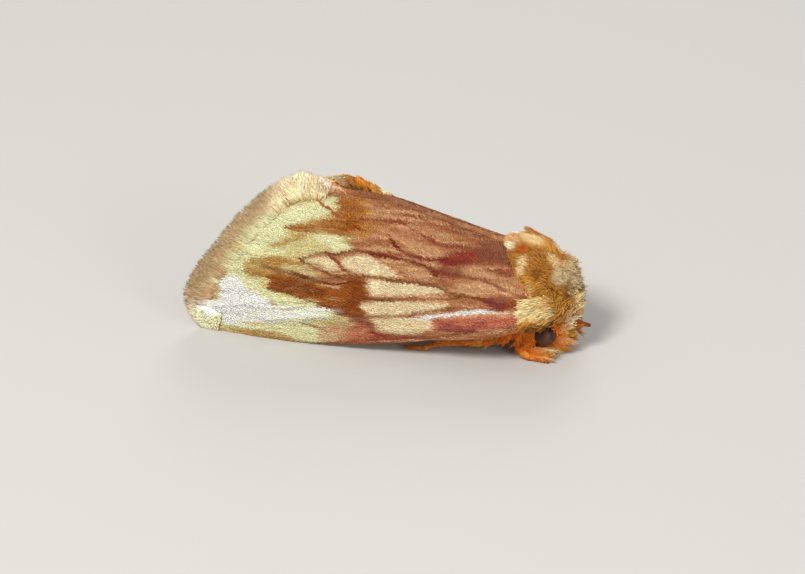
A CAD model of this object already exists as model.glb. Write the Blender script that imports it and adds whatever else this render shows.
import itertools
import math

import bmesh
import bpy
import numpy as np
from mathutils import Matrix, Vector


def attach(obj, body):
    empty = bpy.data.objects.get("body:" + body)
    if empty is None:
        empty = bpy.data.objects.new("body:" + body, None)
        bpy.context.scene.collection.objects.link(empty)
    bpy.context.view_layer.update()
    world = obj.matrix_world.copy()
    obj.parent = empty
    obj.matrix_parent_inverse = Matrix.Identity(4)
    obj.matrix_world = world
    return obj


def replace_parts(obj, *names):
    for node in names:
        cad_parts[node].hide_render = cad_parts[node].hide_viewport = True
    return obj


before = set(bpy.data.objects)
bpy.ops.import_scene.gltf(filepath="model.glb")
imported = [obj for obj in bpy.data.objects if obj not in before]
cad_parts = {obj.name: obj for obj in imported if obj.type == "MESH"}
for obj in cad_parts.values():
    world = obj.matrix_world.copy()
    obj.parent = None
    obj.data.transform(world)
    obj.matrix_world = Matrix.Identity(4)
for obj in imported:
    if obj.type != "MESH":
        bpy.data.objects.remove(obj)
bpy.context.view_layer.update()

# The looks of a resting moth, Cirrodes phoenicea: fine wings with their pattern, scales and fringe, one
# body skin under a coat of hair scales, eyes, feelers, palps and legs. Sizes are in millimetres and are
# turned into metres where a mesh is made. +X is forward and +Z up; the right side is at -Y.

MM = 0.001
RNG = np.random.default_rng(11)

# The roof that the forewings lie in, as in the CAD source.
FOLD_Y = [(-8.6, 2.75), (-5.0, 2.95), (3.4, 3.0), (4.6, 2.9), (5.5, 2.72), (6.3, 2.45), (7.2, 2.0)]
FOLD_Z_AT_ORIGIN, FOLD_Z_SLOPE = 2.0, 0.085
RIDGE_Y = 0.15
RIDGE_Z_AT_ORIGIN, RIDGE_Z_SLOPE = 5.95, -0.258
ROOF_BULGE = 0.07
STRIP_LEAN = 0.18
WING_ROOT_X = 6.9
LEFT_ADVANCE, LEFT_ADVANCE_RUN = 1.6, 11.0
LEFT_LIFT, LEFT_LIFT_X, LEFT_LIFT_REACH = 0.22, -1.9, 0.75
COSTA = [(6.45, 2.03), (5.9, 1.78), (4.85, 1.46), (3.5, 1.25), (2.4, 1.08), (1.1, 0.74), (-1.05, 0.31),
         (-3.3, 0.05), (-4.6, 0.0), (-6.7, 0.0)]
APEX = [(-7.5, -1.25), (-7.95, -0.85), (-8.35, -0.3), (-8.45, 0.2)]
TERMEN = [(-8.2, 1.0), (-7.7, 1.9), (-6.95, 2.95), (-6.1, 4.1), (-5.2, 5.05), (-4.3, 5.73)]
TORNUS = [(-3.55, 5.92), (-2.65, 5.5), (-1.9, 5.12), (-0.9, 5.0)]
DORSUM_X = [0.0, 1.2, 2.4, 3.6, 4.8]
BASE = [(5.3, 2.6), (5.85, 1.5), (6.35, 0.6)]

# The main veins of the flat forewing: x along the body, q across from the fold up to the ridge.
VEINS = {
    "subcosta": [(6.2, -0.18), (4.9, -0.42), (3.0, -0.5), (0.6, -0.72)],
    "radius": [(6.1, 0.38), (5.0, 0.55), (3.2, 0.8), (1.6, 0.72), (-0.4, 0.62)],
    "radius_1": [(3.2, 0.8), (1.2, 0.25), (-1.6, -0.2), (-4.6, -0.6)],
    "radius_2": [(-0.4, 0.62), (-2.6, 0.42), (-5.4, 0.12), (-7.6, -0.3)],
    "radius_4": [(-0.4, 0.62), (-3.0, 0.86), (-5.4, 0.78), (-7.9, 0.55)],
    "media_1": [(-0.2, 1.3), (-2.4, 1.42), (-4.8, 1.52), (-7.6, 1.6)],
    "media_2": [(-0.3, 1.75), (-2.6, 1.95), (-5.0, 2.2), (-6.9, 2.6)],
    "cubitus": [(5.3, 1.15), (4.1, 1.54), (2.5, 1.8), (1.0, 2.2), (-0.1, 2.35)],
    "media_3": [(-0.1, 2.35), (-2.2, 2.6), (-4.4, 3.0), (-6.2, 3.55)],
    "cubitus_1": [(1.0, 2.2), (-0.9, 3.0), (-3.0, 3.6), (-5.2, 4.45)],
    "cubitus_2": [(2.5, 1.8), (0.8, 3.1), (-1.2, 3.9), (-4.3, 5.1)],
    "anal": [(5.1, 2.3), (3.7, 2.75), (1.6, 3.5), (-0.6, 4.2), (-3.1, 5.3)],
}
VEIN_RIDGE, VEIN_WIDTH = 0.025, 0.1  # height and spread of the ridges
MEMBRANE = 0.09  # thickness
MEMBRANE_INSET = 0.42  # how far the membrane ends inside the fringe's outline
MEMBRANE_X = (-8.04, 6.4)
WING_COLUMNS, WING_ROWS = 300, 140

HINDWING = [(5.0, 0.3), (3.0, 0.14), (0.5, 0.12), (-2.0, 0.18), (-4.2, 0.3), (-5.0, 0.42), (-4.9, 0.58),
            (-4.2, 0.72), (-3.0, 0.82), (-0.5, 0.9), (2.0, 0.92), (4.0, 0.9), (5.0, 0.8)]
HINDWING_DEPTH, HINDWING_THICKNESS, PLEATS = 0.95, 0.08, 9
HINDWING_COLUMNS, HINDWING_ROWS = 120, 60

# Bodies: centre and half sizes, as in the CAD source.
THORAX_AT, THORAX_HALF = np.array((5.75, 0, 2.95)), np.array((1.75, 1.95, 1.9))
THORAX_PINCH, THORAX_NECK = 0.45, 0.25
HEAD_AT, HEAD_HALF = np.array((6.8, 0, 1.32)), np.array((0.85, 0.82, 1.16))
ABDOMEN_AT, ABDOMEN_HALF = np.array((0.25, 0, 1.95)), np.array((3.9, 1.2, 1.1))
ABDOMEN_TAPER = 0.3
EYE_AT, EYE_RADIUS, EYE_INSET = np.array((6.8, -1.12, 1.08)), 0.5, 0.04
SKIN_DEPTH = 0.08  # the skin lies this far below the solids' surface

ANTENNA = [(6.9, -0.5, 1.9), (6.85, -1.0, 2.15), (6.6, -1.13, 2.12), (6.3, -1.32, 1.86), (5.9, -1.46, 1.66),
           (5.0, -1.58, 1.56), (4.0, -1.66, 1.54), (2.6, -1.75, 1.52), (1.0, -1.78, 1.48),
           (-0.6, -1.78, 1.4)]
PALP_RIGHT = [(7.2, -0.42, 1.08), (7.6, -0.42, 1.22), (8.0, -0.42, 1.34), (8.3, -0.42, 1.42)]
PALP_LEFT = [(7.2, -0.42, 0.95), (7.6, -0.42, 0.98), (8.0, -0.42, 0.98), (8.3, -0.42, 0.95)]
LEGS = {
    "front": [(5.85, -0.55, 1.5), (5.8, -0.96, 0.94), (5.75, -1.3, 0.5), (6.15, -1.5, 0.22),
              (6.9, -1.55, 0.12)],
    "mid": [(5.05, -0.6, 1.45), (4.95, -1.1, 0.8), (4.2, -1.65, 0.64), (3.3, -1.92, 0.64),
            (2.4, -1.97, 0.42), (1.9, -1.99, 0.18), (1.2, -2.0, 0.11)],
    "hind": [(4.35, -0.5, 1.5), (4.13, -0.68, 0.86), (3.2, -0.92, 0.62), (1.2, -1.2, 0.4), (0.2, -1.3, 0.2),
             (-1.2, -1.35, 0.11)],
}

# The camera sees the moth as the photo does, so spots of the photo can be set on the wing. They were picked
# by eye, and are given in the pixels of an enlargement whose corner lies at a spot of the photo.
CAMERA_AT, CAMERA_LOOK = np.array((23.235, -79.654, 45.851)), np.array((0.9315, -1.872, 2.827))
LENS, SENSOR = 100, 36
PHOTO_SIZE = np.array((805, 574))
FOCAL = LENS / SENSOR * PHOTO_SIZE[0]  # in the photo's pixels
PX_PER_MM, EYE_SPOT = 24.4, np.array((545, 335))
ENLARGED, ENLARGED_FROM = 4, np.array((178, 160))


# Numbers and colours

def linear(*rgb):
    """A colour given in screen values from 0 to 255, as the light values that materials use."""
    c = np.array(rgb, float) / 255
    return np.where(c <= 0.04045, c / 12.92, ((c + 0.055) / 1.055) ** 2.4)


def noise(p, seed=0):
    """Smooth noise from -1 to 1 at places in space, one a row."""
    p = np.asarray(p, float)
    if p.shape[1] == 2:
        p = np.column_stack([p, np.zeros(len(p))])
    cell = np.floor(p).astype(np.int64)
    part = p - cell
    part = part * part * (3 - 2 * part)
    total = np.zeros(len(p))
    for corner in itertools.product((0, 1), repeat=3):
        at = cell + np.array(corner)
        n = (at[:, 0] * 374761393 + at[:, 1] * 668265263 + at[:, 2] * 1442695041 + seed * 974634777)
        n = (n ^ (n >> 13)) * 1274126177 & 0x7FFFFFFF
        n = (n ^ (n >> 15)) * 668265263 & 0x7FFFFFFF
        weight = np.prod(np.where(corner, part, 1 - part), axis=1)
        total += weight * (n / 0x3FFFFFFF - 1)
    return total


def smooth(low, high, value):
    """0 below low, 1 above high and a soft step between."""
    t = np.clip((value - low) / (high - low), 0, 1)
    return t * t * (3 - 2 * t)


def mix(a, b, share):
    """Colours between a and b, by a share for each row or for all."""
    return a + (b - a) * np.asarray(share, float)[..., None]


def smooth_route(points, step):
    """Points about a step apart on a smooth curve through the given points."""
    pts = np.array(points, float)
    pts = np.vstack([2 * pts[0] - pts[1], pts, 2 * pts[-1] - pts[-2]])
    route = []
    for a, b, c, d in zip(pts, pts[1:], pts[2:], pts[3:]):
        count = max(1, round(float(np.linalg.norm(c - b)) / step))
        for t in np.arange(count) / count:
            route.append(0.5 * (2 * b + (c - a) * t + (2 * a - 5 * b + 4 * c - d) * t**2
                                + (3 * b - 3 * c + d - a) * t**3))
    return np.array(route + [pts[-2]])


def off_line(p, line):
    """How far each place is from a line, and how far along it the nearest point is, from 0 to 1."""
    line = np.array(line, float)
    best = np.full(len(p), 1e9)
    at = np.zeros(len(p))
    lengths = np.linalg.norm(np.diff(line, axis=0), axis=1)
    gone = np.concatenate([[0], np.cumsum(lengths)])
    for i, (a, b) in enumerate(zip(line, line[1:])):
        ab = b - a
        t = np.clip((p - a) @ ab / (ab @ ab), 0, 1)
        d = np.linalg.norm(p - a - t[:, None] * ab, axis=1)
        near = d < best
        best[near] = d[near]
        at[near] = (gone[i] + t[near] * lengths[i]) / gone[-1]
    return best, at


def off_area(p, ring):
    """How far each place is outside an area; less than nothing inside it."""
    ring = np.array(ring, float)
    far, _ = off_line(p, np.vstack([ring, ring[:1]]))
    hit = np.zeros(len(p), bool)
    for a, b in zip(ring, np.roll(ring, -1, axis=0)):
        if a[1] != b[1]:
            crosses = (a[1] > p[:, 1]) != (b[1] > p[:, 1])
            hit ^= crosses & (p[:, 0] < a[0] + (b[0] - a[0]) * (p[:, 1] - a[1]) / (b[1] - a[1]))
    return np.where(hit, -far, far)


def unit(v):
    return v / np.maximum(np.linalg.norm(v, axis=-1, keepdims=True), 1e-9)


# The roof and the wing on it

def fold_height(x):
    return FOLD_Z_AT_ORIGIN + FOLD_Z_SLOPE * x


def along(table, x):
    return np.interp(x, [a for a, _ in table], [b for _, b in table])


def roof_section(x, depth, side):
    """The two ends of the roof's section at x, fold and ridge, as (y, z) at a depth below the face."""
    fold_y = along(FOLD_Y, x)
    fold_z = fold_height(x)
    ridge_z = RIDGE_Z_AT_ORIGIN + RIDGE_Z_SLOPE * x
    if side > 0:
        ridge_z = ridge_z + LEFT_LIFT * np.exp(-((x - LEFT_LIFT_X) / LEFT_LIFT_REACH) ** 2)
    slope = np.arctan2(ridge_z - fold_z, fold_y - RIDGE_Y)
    bend = math.atan(4 * ROOF_BULGE)
    fold = np.stack([-fold_y + depth / np.sin(slope + bend), fold_z + 0 * slope], -1)
    ridge = np.stack([-RIDGE_Y + 0 * slope, ridge_z - depth / np.cos(slope - bend)], -1)
    return fold, ridge


def roof_length(x, side):
    fold, ridge = roof_section(x, 0, side)
    return np.linalg.norm(ridge - fold, axis=-1) * (1 + 8 / 3 * ROOF_BULGE**2)


def roof(x, share, depth, side):
    """A place on the roof: its share of the way up to the ridge, or down to the floor where negative."""
    fold, ridge = roof_section(x, depth, side)
    chord = ridge - fold
    outward = np.stack([-chord[..., 1], chord[..., 0]], -1)
    s = share[..., None]
    up = fold + chord * s + outward * (4 * ROOF_BULGE * s * (1 - s))
    down = np.stack([fold[..., 0] - share * STRIP_LEAN, fold[..., 1] * (1 + share)], -1)
    place = np.where(s < 0, down, up)
    return np.stack([x + 0 * share, -place[..., 0] * side, place[..., 1]], -1)


def wing_place(x, q, depth, side):
    """A place of the flat forewing, set on the roof of its own side."""
    share = np.where(q < 0, q / fold_height(x), q / roof_length(x, -1))
    if side > 0:
        x = x + LEFT_ADVANCE * np.clip((WING_ROOT_X - x) / LEFT_ADVANCE_RUN, 0, 1)
    return roof(x, share, depth, side)


def wing_normal(x, q, side):
    """Outward from the forewing's face."""
    small = 0.03
    run_x = wing_place(x + small, q, 0.0, side) - wing_place(x - small, q, 0.0, side)
    run_q = wing_place(x, q + small, 0.0, side) - wing_place(x, q - small, 0.0, side)
    out = unit(np.cross(run_x, run_q))
    flip = out[..., 1] * side < 0
    return np.where(flip[..., None], -out, out)


def in_photo(p):
    """Where places in space show in the photo, in its pixels."""
    ahead = unit(CAMERA_LOOK - CAMERA_AT)
    right = unit(np.cross(ahead, (0, 0, 1)))
    off = p - CAMERA_AT
    sideways = np.stack([off @ right, -off @ np.cross(right, ahead)], -1)
    return PHOTO_SIZE / 2 + FOCAL * sideways / (off @ ahead)[..., None]


def on_wing(spots):
    """The x and q of the flat forewing that show at spots of the enlarged photo, found in small steps."""
    spots = np.reshape(spots, (-1, 2)) / ENLARGED + ENLARGED_FROM
    flat = (spots - EYE_SPOT) / (PX_PER_MM, -PX_PER_MM) + (EYE_AT[0], 0)
    small = 0.001
    for _ in range(30):
        seen = in_photo(wing_place(*flat.T, 0.0, -1))
        runs = [in_photo(wing_place(*(flat + move).T, 0.0, -1)) - seen for move in ((small, 0), (0, small))]
        steps = np.linalg.solve(np.stack(runs, -1) / small, (spots - seen)[..., None])
        flat = flat + 0.8 * steps[..., 0]
    return flat


def wing_uv(x, q):
    """The place on the unwrap of a place of the flat wing."""
    return (x + 9) / 18, (q + 3) / 18


def wing_edges():
    """The lower and upper edge of the flat wing, each as x and q in rising x."""
    costa = [(x, z - fold_height(x)) for x, z in COSTA]
    low = smooth_route(costa[::-1][:1] + APEX, 0.2)[::-1]
    low = np.vstack([low, np.array(costa[::-1][1:])])
    high = np.vstack([[APEX[-1]], smooth_route(TERMEN, 0.2), smooth_route([TERMEN[-1]] + TORNUS, 0.2)[1:]])
    dorsum = [(x, float(roof_length(np.array(x), -1))) for x in DORSUM_X]
    high = np.vstack([high, dorsum, BASE, costa[:1]])
    return low, high


EDGE_LOW, EDGE_HIGH = wing_edges()


def membrane_span(x):
    """The lowest and highest q of the membrane at x."""
    low = np.interp(x, EDGE_LOW[:, 0], EDGE_LOW[:, 1])
    high = np.interp(x, EDGE_HIGH[:, 0], EDGE_HIGH[:, 1])
    slope = np.interp(x + 0.1, EDGE_HIGH[:, 0], EDGE_HIGH[:, 1]) - high
    steep = np.sqrt(1 + (slope / 0.1) ** 2)
    inset = MEMBRANE_INSET * np.minimum(steep, 2.6) * (1 - smooth(-3.6, -2.4, x))
    return low + 0.25 * (1 - smooth(-8.4, -6.9, x)), high - inset


# The pattern of the flat forewing

PINK, PINK_PALE = linear(180, 118, 76), linear(210, 162, 120)
ROSE, ROSE_BROWN = linear(198, 106, 88), linear(150, 92, 66)
CREAM, CREAM_BRIGHT, WHITE = linear(232, 230, 182), linear(246, 240, 205), linear(244, 245, 242)
CREAM_PINK, BUFF_YELLOW = linear(232, 212, 172), linear(218, 206, 148)
TAN, TAN_GREY, TAN_DARK = linear(204, 168, 130), linear(160, 142, 106), linear(148, 124, 90)
TAN_BROWN, OCHRE, GOLD = linear(184, 128, 62), linear(184, 134, 60), linear(232, 146, 44)
BROWN, BROWN_DARK = linear(156, 80, 10), linear(114, 50, 6)
CRIMSON, CRIMSON_BROWN = linear(152, 22, 20), linear(120, 40, 24)
PLUM, PLUM_BROWN = linear(126, 50, 50), linear(134, 68, 46)
VEIN_RED, VEIN_BROWN = linear(138, 66, 46), linear(128, 72, 28)

UNDERSIDE = linear(236, 182, 112)
HINDWING_PALE, HINDWING_DUSKY = linear(226, 190, 166), linear(196, 150, 128)

# The pattern's spots on the enlarged photo, x and y by turns, which on_wing sets on the flat wing.
BAND_EDGE = on_wing([412, 99, 455, 160, 440, 188, 340, 255, 270, 290, 255, 340, 225, 400, 190, 455, 162,
                     520, 155, 568, 74, 576, 60, 560])
BAND_BEYOND = [(-8.3, -4.0), (8.0, -4.0), (8.0, 8.0), (-4.0, 8.0)]
# Areas by name: colour, softness of the edge, strength and outline. Later ones lie over earlier ones.
PALE_AREAS = {
    "outer cream": (BUFF_YELLOW, 0.12, 0.85, [262, 340, 270, 300, 300, 285, 340, 255, 400, 215, 440, 185,
        455, 160, 500, 130, 560, 140, 640, 180, 660, 215, 640, 260, 700, 300, 720, 360, 640, 385, 560, 375,
        500, 395, 470, 440, 400, 470, 360, 500, 470, 550, 560, 580, 640, 620, 700, 660, 660, 720, 540, 735,
        420, 715, 300, 690, 200, 675, 120, 670, 80, 640, 75, 580, 160, 570, 165, 520, 190, 450, 225, 400]),
    "cream big": (CREAM, 0.07, 1.0, [262, 372, 268, 320, 285, 290, 340, 255, 400, 220, 455, 192, 520, 182,
        580, 172, 610, 195, 630, 212, 590, 228, 550, 238, 500, 250, 455, 262, 445, 285, 420, 310, 385, 335,
        365, 358, 330, 378]),
    "yellow join": (CREAM, 0.1, 0.85, [200, 440, 225, 400, 262, 372, 340, 378, 395, 362, 430, 372, 440,
        392, 380, 385, 310, 395, 285, 430, 285, 470, 330, 490, 350, 520, 250, 520, 180, 500]),
    "outer white": (CREAM, 0.09, 1.0, [72, 575, 160, 568, 165, 520, 190, 460, 235, 425, 270, 460, 330, 500,
        370, 530, 450, 553, 550, 580, 640, 612, 600, 640, 470, 620, 420, 640, 440, 700, 330, 690, 240, 670,
        150, 655, 110, 668, 80, 640]),
    "blue white": (WHITE, 0.1, 1.0, [76, 578, 165, 570, 175, 500, 205, 465, 255, 470, 280, 520, 360, 560,
        370, 590, 290, 600, 250, 625, 235, 660, 180, 655, 170, 610, 120, 600]),
    "tornus white": (CREAM_BRIGHT, 0.05, 1.0, [412, 97, 450, 72, 500, 55, 545, 62, 550, 80, 515, 98, 460,
        98]),
    "tornus lobe": (WHITE, 0.05, 1.0, [565, 88, 590, 76, 630, 95, 668, 122, 640, 122, 600, 115]),
    "tornus spot": (WHITE, 0.04, 0.9, [508, 112, 522, 112, 537, 130, 525, 132]),
    "upper cream": (CREAM, 0.07, 0.9, [598, 165, 640, 150, 655, 165, 648, 200, 632, 205, 600, 185]),
    "panel m": (CREAM, 0.08, 1.0, [560, 310, 600, 298, 660, 310, 700, 345, 690, 362, 640, 365, 600, 350]),
    "yellow m": (BUFF_YELLOW, 0.1, 0.8, [380, 350, 430, 310, 470, 292, 530, 295, 560, 312, 590, 350, 560,
        375, 500, 372, 440, 380, 400, 365]),
    "white streak m": (CREAM, 0.04, 0.9, [378, 352, 400, 352, 450, 372, 436, 384, 400, 374]),
    "panel l": (CREAM_PINK, 0.06, 1.0, [528, 405, 560, 395, 600, 388, 640, 410, 662, 440, 640, 448, 600,
        440, 560, 425]),
    "panel w": (CREAM_PINK, 0.08, 0.95, [668, 395, 720, 382, 760, 385, 800, 405, 860, 440, 905, 470, 840,
        470, 760, 462, 700, 445, 680, 415]),
    "cream a": (CREAM_PINK, 0.08, 1.0, [752, 500, 770, 485, 860, 485, 960, 495, 1060, 515, 1095, 530, 980,
        545, 860, 548, 770, 545, 752, 525]),
    "cream b": (CREAM_PINK, 0.08, 0.95, [745, 575, 820, 568, 940, 568, 1075, 575, 1060, 595, 960, 612, 850,
        622, 745, 622]),
    "white panel": (CREAM_PINK, 0.09, 1.0, [775, 638, 900, 632, 1015, 640, 1030, 662, 990, 690, 900, 700,
        820, 692, 790, 668]),
    "fold white": (WHITE, 0.05, 0.9, [935, 640, 1000, 625, 1110, 612, 1240, 608, 1355, 606, 1355, 614,
        1240, 618, 1120, 628, 1000, 644]),
    "costal cream": (CREAM, 0.1, 0.9, [380, 640, 460, 630, 560, 655, 640, 690, 640, 725, 540, 732, 420,
        710, 330, 690]),
    "pale arm": (PINK_PALE, 0.12, 0.7, [1030, 440, 1120, 425, 1250, 450, 1300, 480, 1240, 478, 1130, 455]),
    "pale base": (PINK_PALE, 0.12, 0.8, [1120, 500, 1230, 490, 1320, 505, 1380, 540, 1330, 550, 1220, 540,
        1130, 525]),
    "light panel 1": (PINK_PALE, 0.1, 0.7, [880, 310, 960, 330, 1060, 365, 1120, 385, 1040, 398, 960, 385,
        905, 350]),
    "light panel 2": (PINK_PALE, 0.08, 0.8, [900, 425, 990, 435, 1025, 470, 1020, 495, 940, 470]),
}
DARK_AREAS = {
    "white foot": (WHITE, 0.18, 0.85, [216, 568, 336, 580, 448, 592, 576, 608, 608, 624, 508, 640, 388,
        652, 268, 660, 200, 640]),
    "dusky arm": (PLUM_BROWN, 0.3, 0.9, [1036, 408, 1096, 380, 1168, 356, 1248, 340, 1320, 344, 1340, 372,
        1288, 392, 1224, 404, 1176, 424, 1136, 440, 1080, 440, 1040, 428]),
    "crimson arm": (CRIMSON, 0.12, 0.9, [1052, 412, 1096, 396, 1152, 380, 1208, 376, 1200, 396, 1152, 420,
        1108, 432, 1068, 428]),
    "crimson low": (CRIMSON_BROWN, 0.16, 0.85, [1032, 440, 1096, 436, 1152, 448, 1136, 476, 1080, 480,
        1040, 464]),
    "plum cloud": (PLUM, 0.14, 0.6, [1256, 560, 1300, 548, 1344, 568, 1356, 592, 1308, 608, 1264, 596]),
    "p2 ragged": (TAN_BROWN, 0.1, 0.85, [440, 272, 500, 262, 560, 240, 610, 232, 640, 205, 652, 170, 700,
        142, 750, 150, 780, 185, 770, 235, 800, 270, 800, 305, 740, 318, 670, 312, 620, 300, 560, 290, 520,
        296, 460, 290]),
    "p2 core": (BROWN, 0.1, 0.9, [560, 255, 620, 238, 690, 232, 740, 250, 745, 285, 690, 298, 630, 285,
        580, 280]),
    "p2 up": (BROWN, 0.12, 0.6, [645, 205, 670, 165, 720, 152, 745, 185, 735, 225, 690, 232, 650, 225]),
    "p2 tail": (BROWN, 0.06, 0.7, [440, 270, 480, 262, 560, 262, 560, 282, 500, 280, 460, 284]),
    "p3": (OCHRE, 0.08, 0.7, [385, 350, 430, 318, 500, 296, 545, 300, 500, 318, 450, 340, 410, 352]),
    "p1 left": (OCHRE, 0.1, 0.85, [285, 440, 300, 405, 350, 385, 420, 388, 470, 400, 520, 395, 500, 425,
        430, 430, 460, 470, 400, 490, 340, 470, 300, 465]),
    "p1 body": (BROWN, 0.08, 0.95, [350, 470, 400, 455, 470, 470, 560, 490, 640, 512, 700, 470, 752, 480,
        762, 530, 752, 590, 735, 625, 690, 622, 640, 600, 560, 575, 470, 550, 390, 525]),
    "p1 core": (BROWN_DARK, 0.1, 0.7, [380, 490, 460, 480, 540, 500, 620, 525, 610, 545, 520, 540, 440,
        525]),
    "p1 right": (BROWN_DARK, 0.1, 0.55, [690, 475, 740, 480, 748, 540, 735, 600, 700, 618, 665, 590, 690,
        560, 700, 520]),
    "p1 tail": (PLUM_BROWN, 0.1, 0.75, [650, 600, 720, 622, 760, 640, 790, 690, 850, 705, 830, 715, 760,
        700, 730, 665, 680, 640, 640, 625]),
    "ochre costal": (OCHRE, 0.08, 0.8, [210, 672, 240, 680, 330, 680, 440, 700, 470, 725, 380, 722, 280,
        705]),
    "wedge": (CRIMSON, 0.08, 0.75, [745, 682, 790, 690, 880, 706, 940, 712, 820, 716, 750, 705]),
    "crimson core": (CRIMSON, 0.08, 1.0, [1040, 408, 1080, 392, 1140, 378, 1195, 385, 1170, 410, 1110,
        418]),
    "plum base": (PLUM_BROWN, 0.2, 0.75, [1060, 400, 1140, 375, 1210, 368, 1290, 378, 1345, 400, 1350, 470,
        1300, 470, 1240, 440, 1180, 415, 1100, 420]),
    "plum spot": (PLUM, 0.08, 0.95, [1240, 560, 1275, 560, 1300, 580, 1350, 590, 1320, 605, 1250, 600]),
    "plum spot tail": (BROWN, 0.05, 0.8, [1310, 570, 1400, 568, 1400, 580, 1330, 592]),
    "costal pink": (ROSE, 0.1, 0.75, [1010, 650, 1120, 632, 1240, 622, 1380, 615, 1440, 620, 1420, 650,
        1280, 680, 1180, 690, 1060, 690, 1000, 675]),
    "costal plum": (PLUM, 0.12, 0.6, [1020, 665, 1100, 655, 1160, 668, 1240, 650, 1260, 665, 1190, 690,
        1090, 695]),
    "pink foot": (ROSE, 0.14, 0.5, [600, 660, 690, 645, 750, 660, 760, 700, 860, 716, 740, 735, 600, 735,
        560, 700]),
    "dusky top": (ROSE_BROWN, 0.2, 0.5, [770, 165, 900, 190, 1000, 225, 1140, 290, 1300, 375, 1300, 330,
        1150, 262, 1000, 195, 880, 150, 780, 140]),
}
# Dark lines by name: colour, half width, strength and route.
DARK_LINES = {
    "L1": (VEIN_RED, 0.065, 0.85, [1320, 388, 1200, 366, 1130, 358, 1050, 335, 960, 290, 900, 258, 850,
        245, 740, 238]),
    "L1b": (VEIN_RED, 0.05, 0.6, [1140, 360, 1060, 348, 1000, 318, 940, 300]),
    "L2": (CRIMSON_BROWN, 0.085, 0.95, [1080, 402, 1000, 405, 940, 392, 895, 362, 868, 330, 850, 305]),
    "L2b": (VEIN_RED, 0.06, 0.7, [940, 392, 880, 385, 820, 378, 760, 368, 720, 362]),
    "L3": (CRIMSON_BROWN, 0.075, 0.9, [1040, 470, 1020, 440, 960, 420, 880, 400, 820, 385, 760, 372, 720,
        363, 680, 372, 640, 382, 600, 372]),
    "L3b": (CRIMSON_BROWN, 0.07, 0.7, [1110, 415, 1070, 440, 1030, 462]),
    "L4": (VEIN_RED, 0.065, 0.8, [1395, 560, 1320, 530, 1250, 495, 1180, 478, 1110, 465, 1040, 468]),
    "L4b": (VEIN_RED, 0.05, 0.5, [1345, 470, 1290, 455, 1230, 432, 1170, 418]),
    "L5": (VEIN_BROWN, 0.07, 0.95, [1240, 556, 1160, 552, 1100, 535, 1060, 515, 960, 492, 860, 482, 760,
        472, 700, 468, 640, 465, 600, 455, 540, 425, 495, 400]),
    "L6": (VEIN_BROWN, 0.06, 0.9, [1240, 558, 1120, 556, 1000, 556, 900, 560, 820, 558, 740, 548]),
    "L7": (VEIN_BROWN, 0.05, 0.6, [1200, 575, 1080, 600, 960, 618, 930, 632]),
    "L8": (VEIN_RED, 0.05, 0.6, [1010, 470, 1020, 495, 1060, 515]),
    "LA": (VEIN_BROWN, 0.06, 0.8, [495, 405, 520, 392, 560, 380, 600, 372]),
    "LB": (VEIN_RED, 0.06, 0.85, [600, 375, 640, 405, 665, 430, 695, 462]),
    "LC": (VEIN_RED, 0.045, 0.5, [800, 395, 850, 420, 900, 450, 905, 470]),
    "P1 up": (BROWN_DARK, 0.085, 0.95, [345, 428, 400, 442, 470, 458, 540, 478, 620, 500, 700, 492]),
    "P1 low": (BROWN_DARK, 0.06, 0.8, [370, 510, 430, 532, 520, 560, 600, 585, 650, 608]),
    "oblique": (BROWN, 0.07, 0.9, [552, 150, 590, 185, 620, 205, 650, 230]),
    "oblique low": (BROWN_DARK, 0.06, 0.5, [650, 230, 700, 262, 760, 285]),
    "cream top": (TAN_BROWN, 0.05, 0.8, [440, 190, 480, 172, 540, 163, 590, 166]),
    "orange line": (GOLD, 0.045, 0.85, [270, 652, 320, 656, 368, 656]),
    "costal streak": (ROSE_BROWN, 0.05, 0.75, [480, 645, 540, 665, 600, 688, 640, 690]),
    "small streak": (OCHRE, 0.05, 0.8, [380, 565, 400, 585, 430, 598, 470, 602]),
    "tornus line": (ROSE_BROWN, 0.05, 0.6, [560, 135, 600, 130, 660, 150]),
    "red foot": (VEIN_RED, 0.05, 0.7, [560, 735, 700, 730, 860, 722, 1000, 712, 1100, 700, 1200, 688]),
    "p2 streak": (BROWN_DARK, 0.05, 0.45, [455, 283, 520, 290, 600, 292, 660, 300, 720, 315]),
    "upper basal": (VEIN_RED, 0.05, 0.55, [780, 185, 860, 205, 960, 232, 1060, 268, 1160, 315, 1240, 350]),
}

# Where the wing's pink base ends.
BASE_END = [(-3.2, 5.6), (-2.3, 4.4), (-2.6, 3.5), (-2.4, 2.6), (-2.8, 1.8), (-2.0, 0.9), (-1.2, 0.2),
            (-0.9, -0.6), (-1.4, -1.6)]


def set_on_wing(table):
    """The rows of a table of the pattern, with their spots set on the flat wing."""
    return [(*looks, on_wing(spots)) for *looks, spots in table.values()]


PALE_ROWS, DARK_ROWS, LINE_ROWS = set_on_wing(PALE_AREAS), set_on_wing(DARK_AREAS), set_on_wing(DARK_LINES)


def cover(p, ring, softness, shake, closed=True):
    """How much of each place an area or a line covers, from 0 to 1, its edge softened and roughened."""
    ring = np.array(ring)
    reach = softness * 1.5 + np.abs(shake).max()
    near = np.all((p > ring.min(0) - reach) & (p < ring.max(0) + reach), axis=1)
    share = np.zeros(len(p))
    if not near.any():
        return share
    if closed:
        share[near] = smooth(softness, -softness, off_area(p[near], ring) + shake[near])
    else:
        far, at = off_line(p[near], ring)
        taper = softness * (0.55 + 0.45 * np.sin(math.pi * np.clip(at, 0.06, 0.94)) ** 0.5)
        share[near] = smooth(1.5, 0.45, (far + shake[near]) / taper)
    return share


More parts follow.
